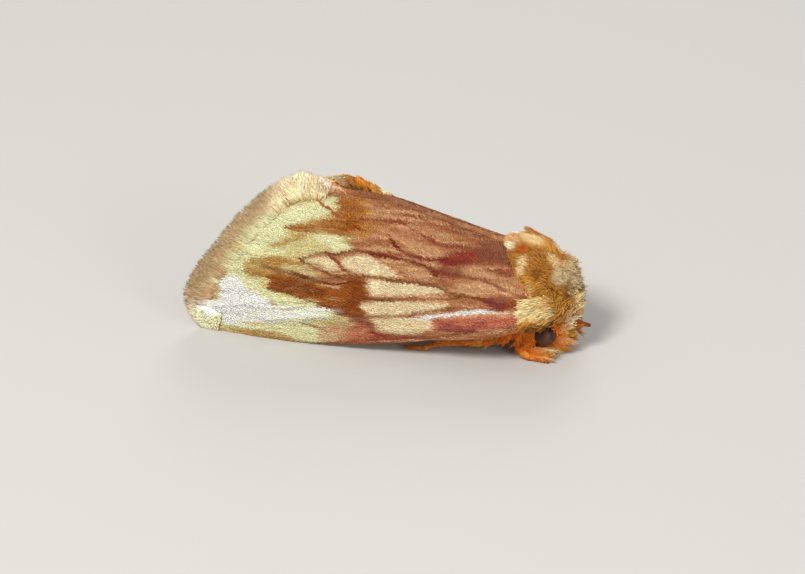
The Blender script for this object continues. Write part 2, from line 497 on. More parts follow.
def wing_colour(x, q):
    """The colour of the upper side at places of the flat forewing."""
    flat = np.column_stack([x, q])
    rough = 0.2 * noise(flat * (0.9, 4.2), 1) + 0.13 * noise(flat * (2.2, 9.0), 2)
    p = flat + np.column_stack([rough, 0.1 * rough])
    for_lines = flat + np.column_stack([0 * x, 0.05 * noise(flat * (1.3, 1.3), 7)])
    streak = noise(np.column_stack([x * 0.7 + q * 0.35, q * 6.0]), 3)
    fine = noise(np.column_stack([x * 2.0 + q * 0.9, q * 19.0]), 4)
    grain = noise(np.column_stack([x * 13.0, q * 14.0]), 5)
    shake = 0.05 * fine + 0.04 * streak
    colour = mix(PINK, PINK_PALE, smooth(-0.5, 1.0, streak + 0.5 * fine))
    colour = mix(colour, ROSE_BROWN, 0.5 * smooth(0.1, 1.3, -streak - 0.6 * fine))
    outer = smooth(0.35, -0.35, off_area(p, BASE_END + [(-9.0, -1.6), (-9.0, 7.0)]))
    colour = mix(colour, BUFF_YELLOW, 0.7 * outer)
    outside = off_band(p)
    colour = mix(colour, TAN, smooth(-0.12, 0.16, outside))
    colour = mix(colour, TAN_GREY, 0.55 * smooth(0.3, 0.75, outside + 0.12 * streak))
    for tone, softness, strength, outline in PALE_ROWS:
        colour = mix(colour, tone, strength * cover(p, outline, softness, shake))
    speckle = 0.6 + 0.4 * smooth(-1.2, -0.1, streak + 0.8 * fine)
    for tone, softness, strength, outline in DARK_ROWS:
        colour = mix(colour, tone, strength * speckle * cover(p, outline, softness, 1.4 * shake))
    faded = 0.55 + 0.45 * smooth(-0.9, 0.3, noise(flat * (1.6, 3.1), 8) + 0.4 * fine)
    for tone, width, strength, route in LINE_ROWS:
        line_cover = cover(for_lines, smooth_route(route, 0.25), width, 0.5 * shake, closed=False)
        colour = mix(colour, tone, strength * faded * line_cover)
    crest = np.abs(q - 0.03) + 0.015 * fine
    bright = smooth(0.11, 0.03, crest) * smooth(-8.2, -7.4, x) * smooth(-1.0, -2.2, x)
    colour = mix(colour, WHITE, 0.8 * bright)
    rim = off_line(flat, EDGE_HIGH[::2])[0]
    colour = mix(colour, GOLD, 0.8 * smooth(0.3, 0.08, rim) * smooth(-5.4, -4.4, x) * smooth(-1.6, -2.6, x))
    colour = mix(colour, ROSE_BROWN, 0.45 * smooth(0.4, 0.05, rim) * smooth(-2.0, -1.0, x) * (q > 2))
    foot = q - np.interp(x, EDGE_LOW[:, 0], EDGE_LOW[:, 1])
    colour = mix(colour, VEIN_RED, 0.5 * smooth(0.14, 0.03, foot) * smooth(-5.5, -1.0, x))
    return np.clip(colour * (1 + 0.06 * fine + 0.05 * grain)[:, None], 0.002, 0.95)


def off_band(p):
    """How far a place lies out beyond the pale band's inner edge, towards the hind margin."""
    far, _ = off_line(p, BAND_EDGE)
    inner = off_area(p, np.vstack([BAND_EDGE, BAND_BEYOND]))
    return np.where(inner < 0, -far, far)


# Meshes

def new_mesh(name, verts, faces, material, colours=None, uv=None, uv_name="Flat", flat=False):
    """A piece made of triangles from places in millimetres, that rides on the body."""
    faces = np.asarray(faces, np.int32)
    mesh = bpy.data.meshes.new(name)
    mesh.vertices.add(len(verts))
    mesh.vertices.foreach_set("co", (np.asarray(verts, float) * MM).astype(np.float32).ravel())
    mesh.loops.add(faces.size)
    mesh.loops.foreach_set("vertex_index", faces.ravel())
    mesh.polygons.add(len(faces))
    mesh.polygons.foreach_set("loop_start", np.arange(0, faces.size, faces.shape[1], dtype=np.int32))
    mesh.update(calc_edges=True)
    if colours is not None:
        layer = mesh.color_attributes.new(name="Colour", type="FLOAT_COLOR", domain="POINT")
        rgba = np.column_stack([colours, np.ones(len(verts))])
        layer.data.foreach_set("color", rgba.astype(np.float32).ravel())
    if uv is not None:
        layer = mesh.uv_layers.new(name=uv_name)
        layer.data.foreach_set("uv", np.asarray(uv)[faces.ravel()].astype(np.float32).ravel())
    if not flat:
        mesh.shade_smooth()
    mesh.materials.append(material)
    obj = bpy.data.objects.new(name, mesh)
    bpy.context.scene.collection.objects.link(obj)
    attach(obj, "root")
    return obj


def grid_faces(columns, rows, closed=False):
    """Triangles of a grid whose places are numbered row by row in each column."""
    i, j = np.meshgrid(np.arange(columns if closed else columns - 1), np.arange(rows - 1), indexing="ij")
    a = i * rows + j
    b = (i + 1) % columns * rows + j
    one = np.stack([a, b, b + 1], -1).reshape(-1, 3)
    two = np.stack([a, b + 1, a + 1], -1).reshape(-1, 3)
    return np.vstack([one, two])


def shell(top, bottom, columns, rows, turn):
    """A closed sheet from the grids of its two faces."""
    n = columns * rows
    faces = grid_faces(columns, rows)
    if turn:
        faces = faces[:, ::-1]
    rim = list(range(rows))
    rim += [i * rows + rows - 1 for i in range(1, columns)]
    rim += [(columns - 1) * rows + j for j in range(rows - 2, -1, -1)]
    rim += [i * rows for i in range(columns - 2, 0, -1)]
    rim = np.array(rim)
    nxt = np.roll(rim, -1)
    walls = np.vstack([np.stack([rim, nxt, nxt + n], -1), np.stack([rim, nxt + n, rim + n], -1)])
    if turn:
        walls = walls[:, ::-1]
    return np.vstack([top, bottom]), np.vstack([faces, faces[:, ::-1] + n, walls])


def wing_relief(x, q):
    """How far the membrane stands up: ridges along the veins, sagging between them, with fine streaks."""
    p = np.column_stack([x, q])
    near = np.min([off_line(p, smooth_route(line, 0.5))[0] for line in VEINS.values()], axis=0)
    ridge = VEIN_RIDGE * np.exp(-((near / VEIN_WIDTH) ** 2))
    sag = 0.03 * smooth(0.05, 0.5, near)
    streaks = 0.012 * noise(np.column_stack([x * 0.9 + q * 0.4, q * 9.0]), 6)
    return ridge - sag + streaks


def make_forewing(name, side, materials):
    """The membrane with its pattern."""
    columns, rows = WING_COLUMNS, WING_ROWS
    u = np.linspace(0, 1, columns)
    start, end = MEMBRANE_X
    x = start + (end - start) * (0.6 * u + 0.4 * u**2)
    low, high = membrane_span(x)
    share = np.linspace(0, 1, rows)
    q = low[:, None] + (high - low)[:, None] * share
    x = np.repeat(x, rows)
    q = q.ravel()
    normal = wing_normal(x, q, side)
    relief = wing_relief(x, q)
    top = wing_place(x, q, 0.0, side) + normal * (relief - 0.02)[:, None]
    bottom = wing_place(x, q, MEMBRANE, side) + normal * (relief - 0.02)[:, None]
    verts, faces = shell(top, bottom, columns, rows, side > 0)
    colour = wing_colour(x, q)
    below = mix(colour, UNDERSIDE, 0.8)
    uv = np.column_stack(wing_uv(x, q))
    colours = np.vstack([colour, below])
    uvs = np.vstack([uv, uv])
    membrane = new_mesh(name + "_membrane", verts, faces, materials["wing"], colours, uvs)
    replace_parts(membrane, name)


def make_hindwing(name, side, materials):
    """The folded hindwing below the forewing, a plain pale membrane with fine pleats."""
    ring = smooth_route([(x, s) for x, s in HINDWING + HINDWING[:1]], 0.4)
    low = ring[:np.argmin(ring[:, 0]) + 1][::-1]
    high = ring[np.argmin(ring[:, 0]):]
    columns, rows = HINDWING_COLUMNS, HINDWING_ROWS
    x = np.linspace(ring[:, 0].min() + 0.03, 4.9, columns)
    bottom_share = np.interp(x, low[:, 0], low[:, 1])
    top_share = np.interp(x, np.maximum.accumulate(high[:, 0]), high[:, 1])
    share = bottom_share[:, None] + (top_share - bottom_share)[:, None] * np.linspace(0, 1, rows)
    x = np.repeat(x, rows)
    share = share.ravel()
    pleat = 0.05 * np.cos(2 * math.pi * PLEATS * share + 0.4 * x)
    outer = roof(x, share, HINDWING_DEPTH + pleat, side)
    inner = roof(x, share, HINDWING_DEPTH + HINDWING_THICKNESS + pleat, side)
    verts, faces = shell(outer, inner, columns, rows, side > 0)
    cloud = noise(np.column_stack([x, share * 40]), 8)
    tone = mix(HINDWING_PALE, HINDWING_DUSKY, smooth(-0.5, 0.8, cloud))
    uv = np.column_stack([(x + 9) / 18, share])
    colours = np.vstack([tone, tone])
    uvs = np.vstack([uv, uv])
    membrane = new_mesh(name + "_membrane", verts, faces, materials["wing"], colours, uvs)
    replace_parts(membrane, name)


ROOT_SHADE, TIP_SHADE = 0.75, 1.08  # hair is darker at its root and lighter at its tip
LOWEST = 0.01  # no hair comes nearer to the floor
PATCH = 0.0015  # half the side of a tuft's patch on the unwrap


def bake_uv(u, v, corners):
    """A small patch for each tuft, at its root's place on the unwrap."""
    patch = np.array(corners) * PATCH
    return (np.stack([u, v], -1)[:, None, :] + patch[None]).reshape(-1, 2)


def repeated(faces, size, count):
    """The same faces for many tufts that have a number of places each."""
    return (np.array(faces)[None] + size * np.arange(count)[:, None, None]).reshape(-1, 3)


def scale_mesh(root, out, lie, length, width, lift, u, v, colour):
    """Wing scales, each a thin closed leaf that widens to its outer end."""
    across = unit(np.cross(out, lie))
    end = root + lie * length[:, None] + out * lift[:, None]
    places = np.stack([
        root,
        end + across * width[:, None] / 2,
        end - across * width[:, None] / 2,
        root + lie * length[:, None] * 0.6 - out * 0.02,
    ], 1)
    faces = repeated([(0, 1, 2), (1, 0, 3), (2, 1, 3), (0, 2, 3)], 4, len(root))
    uv = bake_uv(u, v, [(0, -1), (1, 1), (-1, 1), (0, 0)])
    shade = np.array([0.94, 1.02, 1.02, 0.9])
    colours = np.clip(colour[:, None, :] * shade[None, :, None], 0, 0.97).reshape(-1, 3)
    places = places.reshape(-1, 3)
    places[:, 2] = np.maximum(places[:, 2], LOWEST)
    return places, faces, colours, uv


def blade_mesh(path, across, up, width, u, v, colour, root_shade):
    """Hair scales, each a closed three-sided blade along its own path and pointed at the end."""
    steps = path.shape[1] - 1
    verts = []
    for k in range(steps):
        t = k / steps
        half = (width * (0.8 + 0.3 * math.sin(math.pi * t)) * (1 - 0.4 * t) / 2)[:, None]
        verts += [path[:, k] - across * half, path[:, k] + across * half, path[:, k] + up * half * 0.5]
    verts.append(path[:, steps])
    verts = np.stack(verts, 1).reshape(-1, 3)
    verts[:, 2] = np.maximum(verts[:, 2], LOWEST)
    faces = [(2, 1, 0)]
    for k in range(steps - 1):
        for i in range(3):
            a, b = 3 * k + i, 3 * k + (i + 1) % 3
            faces += [(a, b, b + 3), (a, b + 3, a + 3)]
    last = 3 * (steps - 1)
    faces += [(last + i, last + (i + 1) % 3, 3 * steps) for i in range(3)]
    corners = [(x, -1 + 2 * k / steps) for k in range(steps) for x in (-1, 1, 0)] + [(0, 1)]
    if colour.ndim == 2:
        colour = np.repeat(colour[:, None, :], steps + 1, axis=1)
    ring_of = [k for k in range(steps) for _ in range(3)] + [steps]
    shade = np.array([root_shade + (1 - root_shade) * k / steps for k in ring_of])
    shade[-1] = TIP_SHADE
    colours = np.clip(colour[:, ring_of] * shade[None, :, None], 0, 0.97).reshape(-1, 3)
    return verts, repeated(faces, 3 * steps + 1, len(path)), colours, bake_uv(u, v, corners)


def hair_piece(name, path, across, up, width, place, colour, materials, root_shade=ROOT_SHADE):
    """A piece of hair scales; place holds u and v of the roots on the unwrap."""
    verts, faces, colours, uv = blade_mesh(path, across, up, width, *place, colour, root_shade)
    new_mesh(name, verts, faces, materials["hair"], colours, uv, "OFBake")


SCALE_STEP_X, SCALE_STEP_Q = 0.075, 0.042
SCALE_LENGTH, SCALE_WIDTH, SCALE_LIFT = (0.11, 0.19), (0.05, 0.08), (0.006, 0.022)


def make_wing_scales(name, side, materials):
    """The coat of overlapping scales on the outer face of a forewing."""
    xs, qs = np.arange(-8.0, 6.3, SCALE_STEP_X), np.arange(-2.4, 6.0, SCALE_STEP_Q)
    x, q = np.meshgrid(xs, qs, indexing="ij")
    x = x + (np.arange(len(qs)) % 2)[None] * SCALE_STEP_X / 2
    x = (x + RNG.uniform(-0.4, 0.4, x.shape) * SCALE_STEP_X).ravel()
    q = (q + RNG.uniform(-0.4, 0.4, q.shape) * SCALE_STEP_Q).ravel()
    low, high = membrane_span(x)
    keep = (q > low + 0.03) & (q < high - 0.02)
    x, q = x[keep], q[keep]
    out = wing_normal(x, q, side)
    root = wing_place(x, q, 0.0, side) + out * (wing_relief(x, q) - 0.018)[:, None]
    way = unit(np.column_stack([x - 8.0, q + 0.8]))
    turn = 0.2 * RNG.standard_normal(len(x))
    way = np.column_stack([way[:, 0] - way[:, 1] * turn, way[:, 1] + way[:, 0] * turn])
    ahead = wing_place(x + 0.05 * way[:, 0], q + 0.05 * way[:, 1], 0.0, side)
    lie = unit(ahead - wing_place(x, q, 0.0, side))
    length = RNG.uniform(*SCALE_LENGTH, len(x))
    width = RNG.uniform(*SCALE_WIDTH, len(x))
    lift = RNG.uniform(*SCALE_LIFT, len(x))
    colour = wing_colour(x, q) * RNG.uniform(0.93, 1.07, (len(x), 1))
    verts, faces, colours, uv = scale_mesh(root, out, lie, length, width, lift, *wing_uv(x, q), colour)
    new_mesh(name, verts, faces, materials["scale"], colours, uv, "OFBake", flat=True)


WING_HAIR_WIDTH = (0.03, 0.055)
FRINGE_X, FRINGE_LAYERS, FRINGE_STEP = (-8.02, -2.5), 5, 0.012
FRINGE_BACK = 0.95  # how far inside the membrane's edge the first hairs root
FRINGE_PATH = ((0, -0.005, 0.0), (0.5, 0.03, 0.03), (1.0, 0.015, 0.06))  # way along, lift and its spread
RIDGE_HAIRS = 3600


def make_fringe(name, side, materials):
    """Long hair scales along the hind margin, in layers that run out of the wing's own scales."""
    x0 = np.linspace(*FRINGE_X, 900)
    x1 = np.linspace(FRINGE_X[0], -6.9, 180)
    edge = np.vstack([np.column_stack([x1, membrane_span(x1)[0]])[::-1],
                      np.column_stack([x0, membrane_span(x0)[1]])])
    gone = np.concatenate([[0], np.cumsum(np.linalg.norm(np.diff(edge, axis=0), axis=1))])
    at = np.tile(np.arange(0.0, gone[-1], FRINGE_STEP), FRINGE_LAYERS)
    count = len(at)
    at = np.clip(at + RNG.uniform(-0.01, 0.01, count), 0, gone[-1])
    p = np.column_stack([np.interp(at, gone, edge[:, i]) for i in range(2)])
    run = np.column_stack([np.interp(at + 0.25, gone, edge[:, i]) - np.interp(at - 0.25, gone, edge[:, i])
                           for i in range(2)])
    out = unit(np.column_stack([-run[:, 1], run[:, 0]]))
    back = RNG.uniform(0, 1, count) ** 1.2 * FRINGE_BACK
    root = p - out * back[:, None]
    way = unit(out + np.array([-0.3, 0.0]) + 0.16 * RNG.standard_normal((count, 2)))
    notch = 0.12 * np.sin(at * math.pi / 0.62) ** 2 + 0.1 * smooth(-0.5, 0.9, noise(root * (5, 5), 12))
    size = 0.35 * back + 0.2 + (MEMBRANE_INSET - 0.12) * (1 - notch) * RNG.uniform(0.6, 1.0, count)
    ends = smooth(-0.1, 0.7, at) * smooth(-0.05, 1.3, gone[-1] - at)
    below_fold = smooth(-0.05, -0.3, root[:, 1])
    size = np.minimum(size, back + MEMBRANE_INSET) * (0.3 + 0.7 * ends) * (1 - 0.25 * below_fold)
    level = RNG.uniform(0, 1, count)
    normal = wing_normal(*root.T, side)
    path = []
    for t, rise, spread in FRINGE_PATH:
        q = root + way * (size * t)[:, None]
        lift = rise + spread * (level - 0.5)
        path.append(wing_place(*q.T, 0.0, side) + normal * lift[:, None])
    path = np.stack(path, 1)
    across = unit(np.cross(normal, path[:, 2] - path[:, 0]))
    tone = mix(TAN_GREY, TAN_DARK, smooth(-0.7, 0.7, noise(root * (3, 3), 9)))
    tone = mix(tone, TAN_BROWN, 0.15 * smooth(0.2, 0.9, noise(root * (8, 8), 13)))
    lobe = smooth(-5.1, -4.2, root[:, 0]) * (root[:, 1] > 3)
    tone = mix(tone, CREAM_BRIGHT, 0.85 * lobe) * RNG.uniform(0.72, 1.15, (count, 1))
    own = wing_colour(root[:, 0], root[:, 1])
    tip = mix(tone, GOLD, 0.7 * lobe * smooth(0.2, 0.8, RNG.uniform(0, 1, count)))
    tone = mix(tone, mix(own, WHITE, 0.5), 0.9 * below_fold)
    tip = mix(tip, mix(own, OCHRE, 0.3), below_fold)
    colour = np.stack([own, mix(own, tone, 0.6), tip], 1)
    hair_piece(name, path, across, normal, RNG.uniform(*WING_HAIR_WIDTH, count), wing_uv(*root.T), colour,
               materials, 1.0)


def make_ridge_hair(name, side, materials):
    """Short hair along the wing's upper edge, which closes the chink between the two wings."""
    x = RNG.uniform(-1.7, 5.1, RIDGE_HAIRS)
    q = membrane_span(x)[1] - RNG.uniform(0.0, 0.14, RIDGE_HAIRS)
    root = wing_place(x, q, 0.02, side)
    normal = wing_normal(x, q, side)
    way = unit(np.array([-0.8, -0.55 * side, 0.12]) + 0.12 * RNG.standard_normal((RIDGE_HAIRS, 3)))
    length = RNG.uniform(0.22, 0.4, RIDGE_HAIRS)[:, None]
    path = np.stack([root, root + way * length / 2 + normal * 0.02, root + way * length], 1)
    own = wing_colour(x, q) * RNG.uniform(0.8, 1.1, (RIDGE_HAIRS, 1))
    hair_piece(name, path, unit(np.cross(normal, way)), normal, RNG.uniform(*WING_HAIR_WIDTH, RIDGE_HAIRS),
               wing_uv(x, q), own, materials)


# The body

def egg_scale(a, b, c, which):
    """The shaping rule of each body, as in the CAD source."""
    one = np.ones_like(a)
    if which == "thorax":
        neck = THORAX_NECK * np.maximum(0, a) * (1 - c)
        return np.stack([one, 1 - THORAX_PINCH * np.maximum(0, -c) - neck, one], -1)
    if which == "abdomen":
        taper = 1 - ABDOMEN_TAPER * np.maximum(0, -a) ** 2
        return np.stack([one, taper, taper], -1)
    return np.stack([one, one, one], -1)


EGGS = {
    "thorax": (THORAX_AT, THORAX_HALF),
    "head": (HEAD_AT, HEAD_HALF),
    "abdomen": (ABDOMEN_AT, ABDOMEN_HALF),
}


def on_egg(which, way, grow=0.0):
    """Places on a body in the given directions, and the outward direction there."""
    at, half = EGGS[which]
    scale = egg_scale(way[:, 0], way[:, 1], way[:, 2], which)
    place = at + way * scale * half + way * grow
    return place, unit(way / (half * scale))


def make_skin(materials):
    """One skin over head, thorax and abdomen, joined and smoothed."""
    bm = bmesh.new()
    for which in EGGS:
        ball = bmesh.ops.create_uvsphere(bm, u_segments=48, v_segments=32, radius=1)["verts"]
        places, _ = on_egg(which, np.array([v.co[:] for v in ball]), -SKIN_DEPTH)
        for v, place in zip(ball, places):
            v.co = place
    mesh = bpy.data.meshes.new("body_skin")
    bm.to_mesh(mesh)
    bm.free()
    obj = bpy.data.objects.new("body_skin_raw", mesh)
    bpy.context.scene.collection.objects.link(obj)
    step = obj.modifiers.new("one_skin", "REMESH")
    step.mode = "VOXEL"
    step.voxel_size = 0.085
    ease = obj.modifiers.new("ease", "SMOOTH")
    ease.factor = 0.5
    ease.iterations = 6
    bpy.context.view_layer.update()
    made = bpy.data.meshes.new_from_object(obj.evaluated_get(bpy.context.evaluated_depsgraph_get()))
    bpy.data.objects.remove(obj)
    made.calc_loop_triangles()
    verts = np.array([v.co[:] for v in made.vertices])
    faces = np.array([t.vertices[:] for t in made.loop_triangles])
    bpy.data.meshes.remove(made)
    verts = below_wing(verts)
    colours = coat_colour(verts)
    piece = new_mesh("body_skin", verts, faces, materials["skin"], colours)
    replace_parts(piece, "thorax", "head", "abdomen")


COAT_OCHRE, COAT_GOLD, COAT_BROWN = linear(174, 116, 46), linear(208, 150, 68), linear(140, 82, 24)
COAT_CREAM, COAT_WHITE, COAT_GREY = linear(234, 206, 150), linear(250, 236, 200), linear(212, 188, 148)
COAT_ORANGE, COAT_RED, COAT_OLIVE = linear(242, 130, 40), linear(190, 82, 24), linear(170, 134, 78)
COAT_YELLOW, COAT_BUFF = linear(238, 222, 166), linear(222, 178, 124)
# Markings of the coat: place with y from the middle, reach and colour. Later ones lie over earlier ones.
COAT_MARKS = [
    ((5.0, 0.0, 4.9), 1.0, COAT_BUFF),
    ((6.1, 0.0, 5.1), 0.8, COAT_CREAM),
    ((6.7, 0.0, 4.8), 0.6, COAT_GOLD),
    ((6.9, 0.5, 4.6), 0.4, COAT_OCHRE),
    ((6.48, 1.4, 4.32), 0.8, COAT_OCHRE),
    ((6.47, 1.86, 3.65), 0.8, COAT_GOLD),
    ((6.55, 1.6, 4.05), 0.5, COAT_BROWN),
    ((6.18, 2.04, 3.4), 0.45, COAT_BUFF),
    ((5.9, 2.1, 3.5), 0.4, COAT_BUFF),
    ((6.05, 1.2, 4.75), 0.34, COAT_CREAM),
    ((6.4, 1.05, 4.85), 0.3, COAT_CREAM),
    ((5.85, 1.45, 4.5), 0.36, COAT_CREAM),
    ((5.75, 1.65, 4.2), 0.34, COAT_CREAM),
    ((5.98, 1.35, 4.66), 0.16, COAT_WHITE),
    ((6.25, 0.85, 4.95), 0.32, COAT_RED),
    ((6.0, 0.88, 4.88), 0.32, COAT_RED),
    ((5.75, 0.9, 4.78), 0.26, COAT_RED),
    ((5.01, 0.61, 4.79), 0.4, COAT_WHITE),
    ((7.05, 0.57, 4.37), 0.5, COAT_CREAM),
    ((7.38, 0.7, 3.8), 0.65, COAT_GREY),
    ((7.55, 0.1, 3.5), 0.8, COAT_GREY),
    ((7.26, 1.26, 2.8), 0.45, COAT_GOLD),
    ((7.15, 1.1, 2.5), 0.4, COAT_BROWN),
    ((6.9, 1.5, 3.1), 0.4, COAT_GOLD),
    ((6.33, 2.05, 2.47), 0.62, COAT_YELLOW),
    ((6.76, 1.8, 2.58), 0.5, COAT_YELLOW),
    ((7.6, 0.0, 2.5), 0.95, COAT_BUFF),
    ((8.1, 0.0, 2.2), 0.6, COAT_BUFF),
    ((8.02, 0.1, 1.69), 0.5, COAT_BUFF),
    ((7.4, 0.54, 2.2), 0.6, COAT_GREY),
    ((7.1, 0.8, 2.1), 0.4, COAT_OLIVE),
    ((7.7, 0.5, 1.6), 0.4, COAT_WHITE),
    ((7.4, 0.7, 1.35), 0.35, COAT_ORANGE),
    ((7.4, 0.6, 0.7), 0.6, COAT_ORANGE),
    ((7.95, 0.3, 0.75), 0.45, COAT_CREAM),
    ((7.8, 0.3, 0.35), 0.4, COAT_CREAM),
    ((6.9, 0.5, 0.35), 0.5, COAT_ORANGE),
]


def coat_colour(p):
    """The colour of the body's coat at places in space."""
    q = np.column_stack([p[:, 0], np.abs(p[:, 1]), p[:, 2]])
    colour = mix(COAT_OCHRE, COAT_ORANGE, smooth(2.3, 1.2, p[:, 2]))
    back = smooth(4.4, 3.4, p[:, 0])
    colour = mix(colour, mix(COAT_BUFF, COAT_ORANGE, smooth(1.6, 0.9, p[:, 2])), back)
    wander = np.column_stack([noise(q * 2.2, s) for s in (21, 22, 23)]) * 0.14
    q = q + wander
    for at, reach, tone in COAT_MARKS:
        far = np.linalg.norm(q - np.array(at), axis=1)
        colour = mix(colour, tone, 0.92 * smooth(reach, reach * 0.45, far))
    rings = smooth(0.55, 0.95, np.sin(p[:, 0] * 2 * math.pi / 0.95)) * back
    colour = mix(colour, COAT_CREAM, 0.35 * rings)
    return np.clip(colour * (1 + 0.1 * noise(p * 5, 24))[:, None], 0.003, 0.95)


def off_wing(p):
    """How far places are outside the forewing's outer face, and the outward direction."""
    side_y = np.where(p[:, 1] > 0, 1.0, -1.0)
    x = np.clip(p[:, 0], -8, 6.5)
    fold, ridge = roof_section(x, 0.0, -1)
    chord = ridge - fold
    length = np.linalg.norm(chord, axis=1)
    outward = np.stack([-chord[:, 1], chord[:, 0]], -1) / length[:, None]
    local = np.stack([-np.abs(p[:, 1]), p[:, 2]], -1) - fold
    share = np.clip(np.sum(local * chord, 1) / length**2, -0.4, 1.05)
    bulge = 4 * ROOF_BULGE * share * (1 - share) * length
    high = np.sum(local * outward, 1) - np.where(share > 0, bulge, 0)
    out = np.column_stack([np.zeros(len(p)), -outward[:, 0] * side_y, outward[:, 1]])
    return high, out, share


def bent_paths(root, out, lie, length, stand, bend, steps=3, curl=None):
    """The paths of hairs that leave at an angle and bend over along their lie, and the way across each."""
    lie = unit(lie - out * np.sum(lie * out, 1)[:, None])
    across = np.cross(out, lie)
    place = root - out * 0.03
    path = [place]
    for k in range(1, steps + 1):
        angle = np.radians(stand * (1 + bend * (0.5 - k / steps)))
        ahead = lie * np.cos(angle)[:, None] + out * np.sin(angle)[:, None]
        if curl is not None:
            ahead = unit(ahead + across * (curl * k / steps)[:, None])
        place = place + ahead * (length / steps)[:, None]
        path.append(place)
    return np.stack(path, 1), across


# By the way up the wing: where the wing's base ends, and where the coat that lies over it ends.
BASE_X = [(-1.5, 6.5), (0.6, 6.35), (1.5, 5.85), (2.6, 5.3), (3.7, 4.8)]
COAT_REACH = [(-0.6, 6.7), (-0.3, 6.6), (0.6, 6.4), (1.35, 5.95), (2.44, 5.32), (3.6, 4.72)]


def up_wing(p, share):
    """How far up the flat wing places lie."""
    x = np.clip(p[:, 0], -8, 6.8)
    return np.where(share > 0, share * roof_length(x, -1), share * fold_height(x))


def over_wing(path, clear):
    """Paths lifted where they would come too near the forewing."""
    flat = path.reshape(-1, 3)
    high, away, share = off_wing(flat)
    on_it = smooth(0.3, -0.05, flat[:, 0] - along(BASE_X, up_wing(flat, share))) * (share > -0.5)
    need = np.clip(clear - high, 0, 0.7) * on_it
    lifted = (flat + away * need[:, None]).reshape(path.shape)
    lifted[:, 0] = path[:, 0]
    return lifted


def below_wing(places):
    """The skin's places, sunk below the forewing where the wing's base is bare."""
    high, away, share = off_wing(places)
    bare = places[:, 0] < along(COAT_REACH, up_wing(places, share)) - 0.05
    bare = bare & (share > -0.3) & (share < 0.93)
    sink = np.where(bare, np.clip(high + 0.14, 0, 0.9), 0)
    return places - away * sink[:, None]


def within_reach(path):
    """Paths over the wing, cut short where the coat ends, and which of them are long enough to keep."""
    _, _, share = off_wing(path[:, -1])
    end = along(COAT_REACH, up_wing(path[:, -1], share)) + RNG.uniform(-0.04, 0.16, len(path))
    start, tip = path[:, 0, 0], path[:, -1, 0]
    part = np.where(tip < end, np.clip((start - end) / np.maximum(start - tip, 1e-3), 0, 1), 1)
    return path[:, :1] + (path - path[:, :1]) * part[:, None, None], part > 0.3


def body_uv(p):
    """The unwrap of the body: the way along it, and the way round its middle line."""
    around = np.arctan2(p[:, 1], p[:, 2] - np.interp(p[:, 0], [-3.6, 3, 5.75, 6.8], [1.95, 2.1, 2.95, 1.6]))
    return (around / math.pi + 1) / 2 * 0.98 + 0.01, (p[:, 0] + 4) / 13


def random_ways(count):
    """Even directions all round, shaken a little."""
    k = np.arange(count) + 0.5
    z = 1 - 2 * k / count
    turn = math.pi * (1 + 5**0.5) * k
    r = np.sqrt(1 - z * z)
    ways = np.column_stack([z, r * np.cos(turn), r * np.sin(turn)])
    return unit(ways + 0.35 / math.sqrt(count) * RNG.standard_normal(ways.shape))


def coat_piece(name, path, across, up, width, materials, slot, tone=None):
    """One piece of the body's coat."""
    colour = coat_colour(path.reshape(-1, 3)).reshape(path.shape) if tone is None else tone
    colour = colour * RNG.uniform(0.88, 1.12, (len(path), 1, 1))
    hair_piece(name, path, across, up, width, body_uv(path[:, 0]), colour, materials)


# Locks of the coat as in the CAD source: where they root, how they lie and how large they are.
COAT_EDGE = [(0, 5.0), (30, 5.1), (50, 5.55), (65, 6.1)]
COAT_ROLLS = [-62, -46, -30, -15, 0, 15, 30, 46, 62]
COAT_ROWS, COAT_ROW_STEP, COAT_FIRST_ROW, COAT_FRONT_X = 4, 0.58, 0.85, 6.95
COAT_LENGTH = [(0, 1.05), (30, 1.2), (50, 1.35)]
CREST_X, CREST_ROLL, CREST_STAND, COAT_STAND = 6.0, 40, 14, 10
TEGULA = [(50, 58), (48, 74), (46, 90)]
COLLAR = [(34, 5, 60, 42), (46, 5, 50, 40)]
HEAD_TUFTS = [(42, 0, 3, 72, 1.05, 60), (57, 0, 3, 60, 1.1, 60), (60, 180, 2, 44, 0.85, 14),
              (76, 180, 3, 80, 0.8, 10)]
COAT_LOCK = (0.95, 0.45)  # width and thickness
OVER_WING = 0.08  # how far the coat keeps above the wing
LOCK_SINK, LOCK_REACH = 0.35, 1.075  # how deep a lock roots, and how far its end lies by its length
LOOSE = 0.1  # how far the ends of the fine locks' hairs stray
STRAY = np.array([0.0, 0.3, 0.65, 1.0])[None, :, None]


def egg_root(which, polar, roll):
    """A place on a body by degrees from its front pole and round from its top, and the way out there."""
    polar, roll = math.radians(polar), math.radians(roll)
    way = np.array([[math.cos(polar), math.sin(polar) * math.sin(roll), math.sin(polar) * math.cos(roll)]])
    place, out = on_egg(which, way)
    return place[0], out[0]


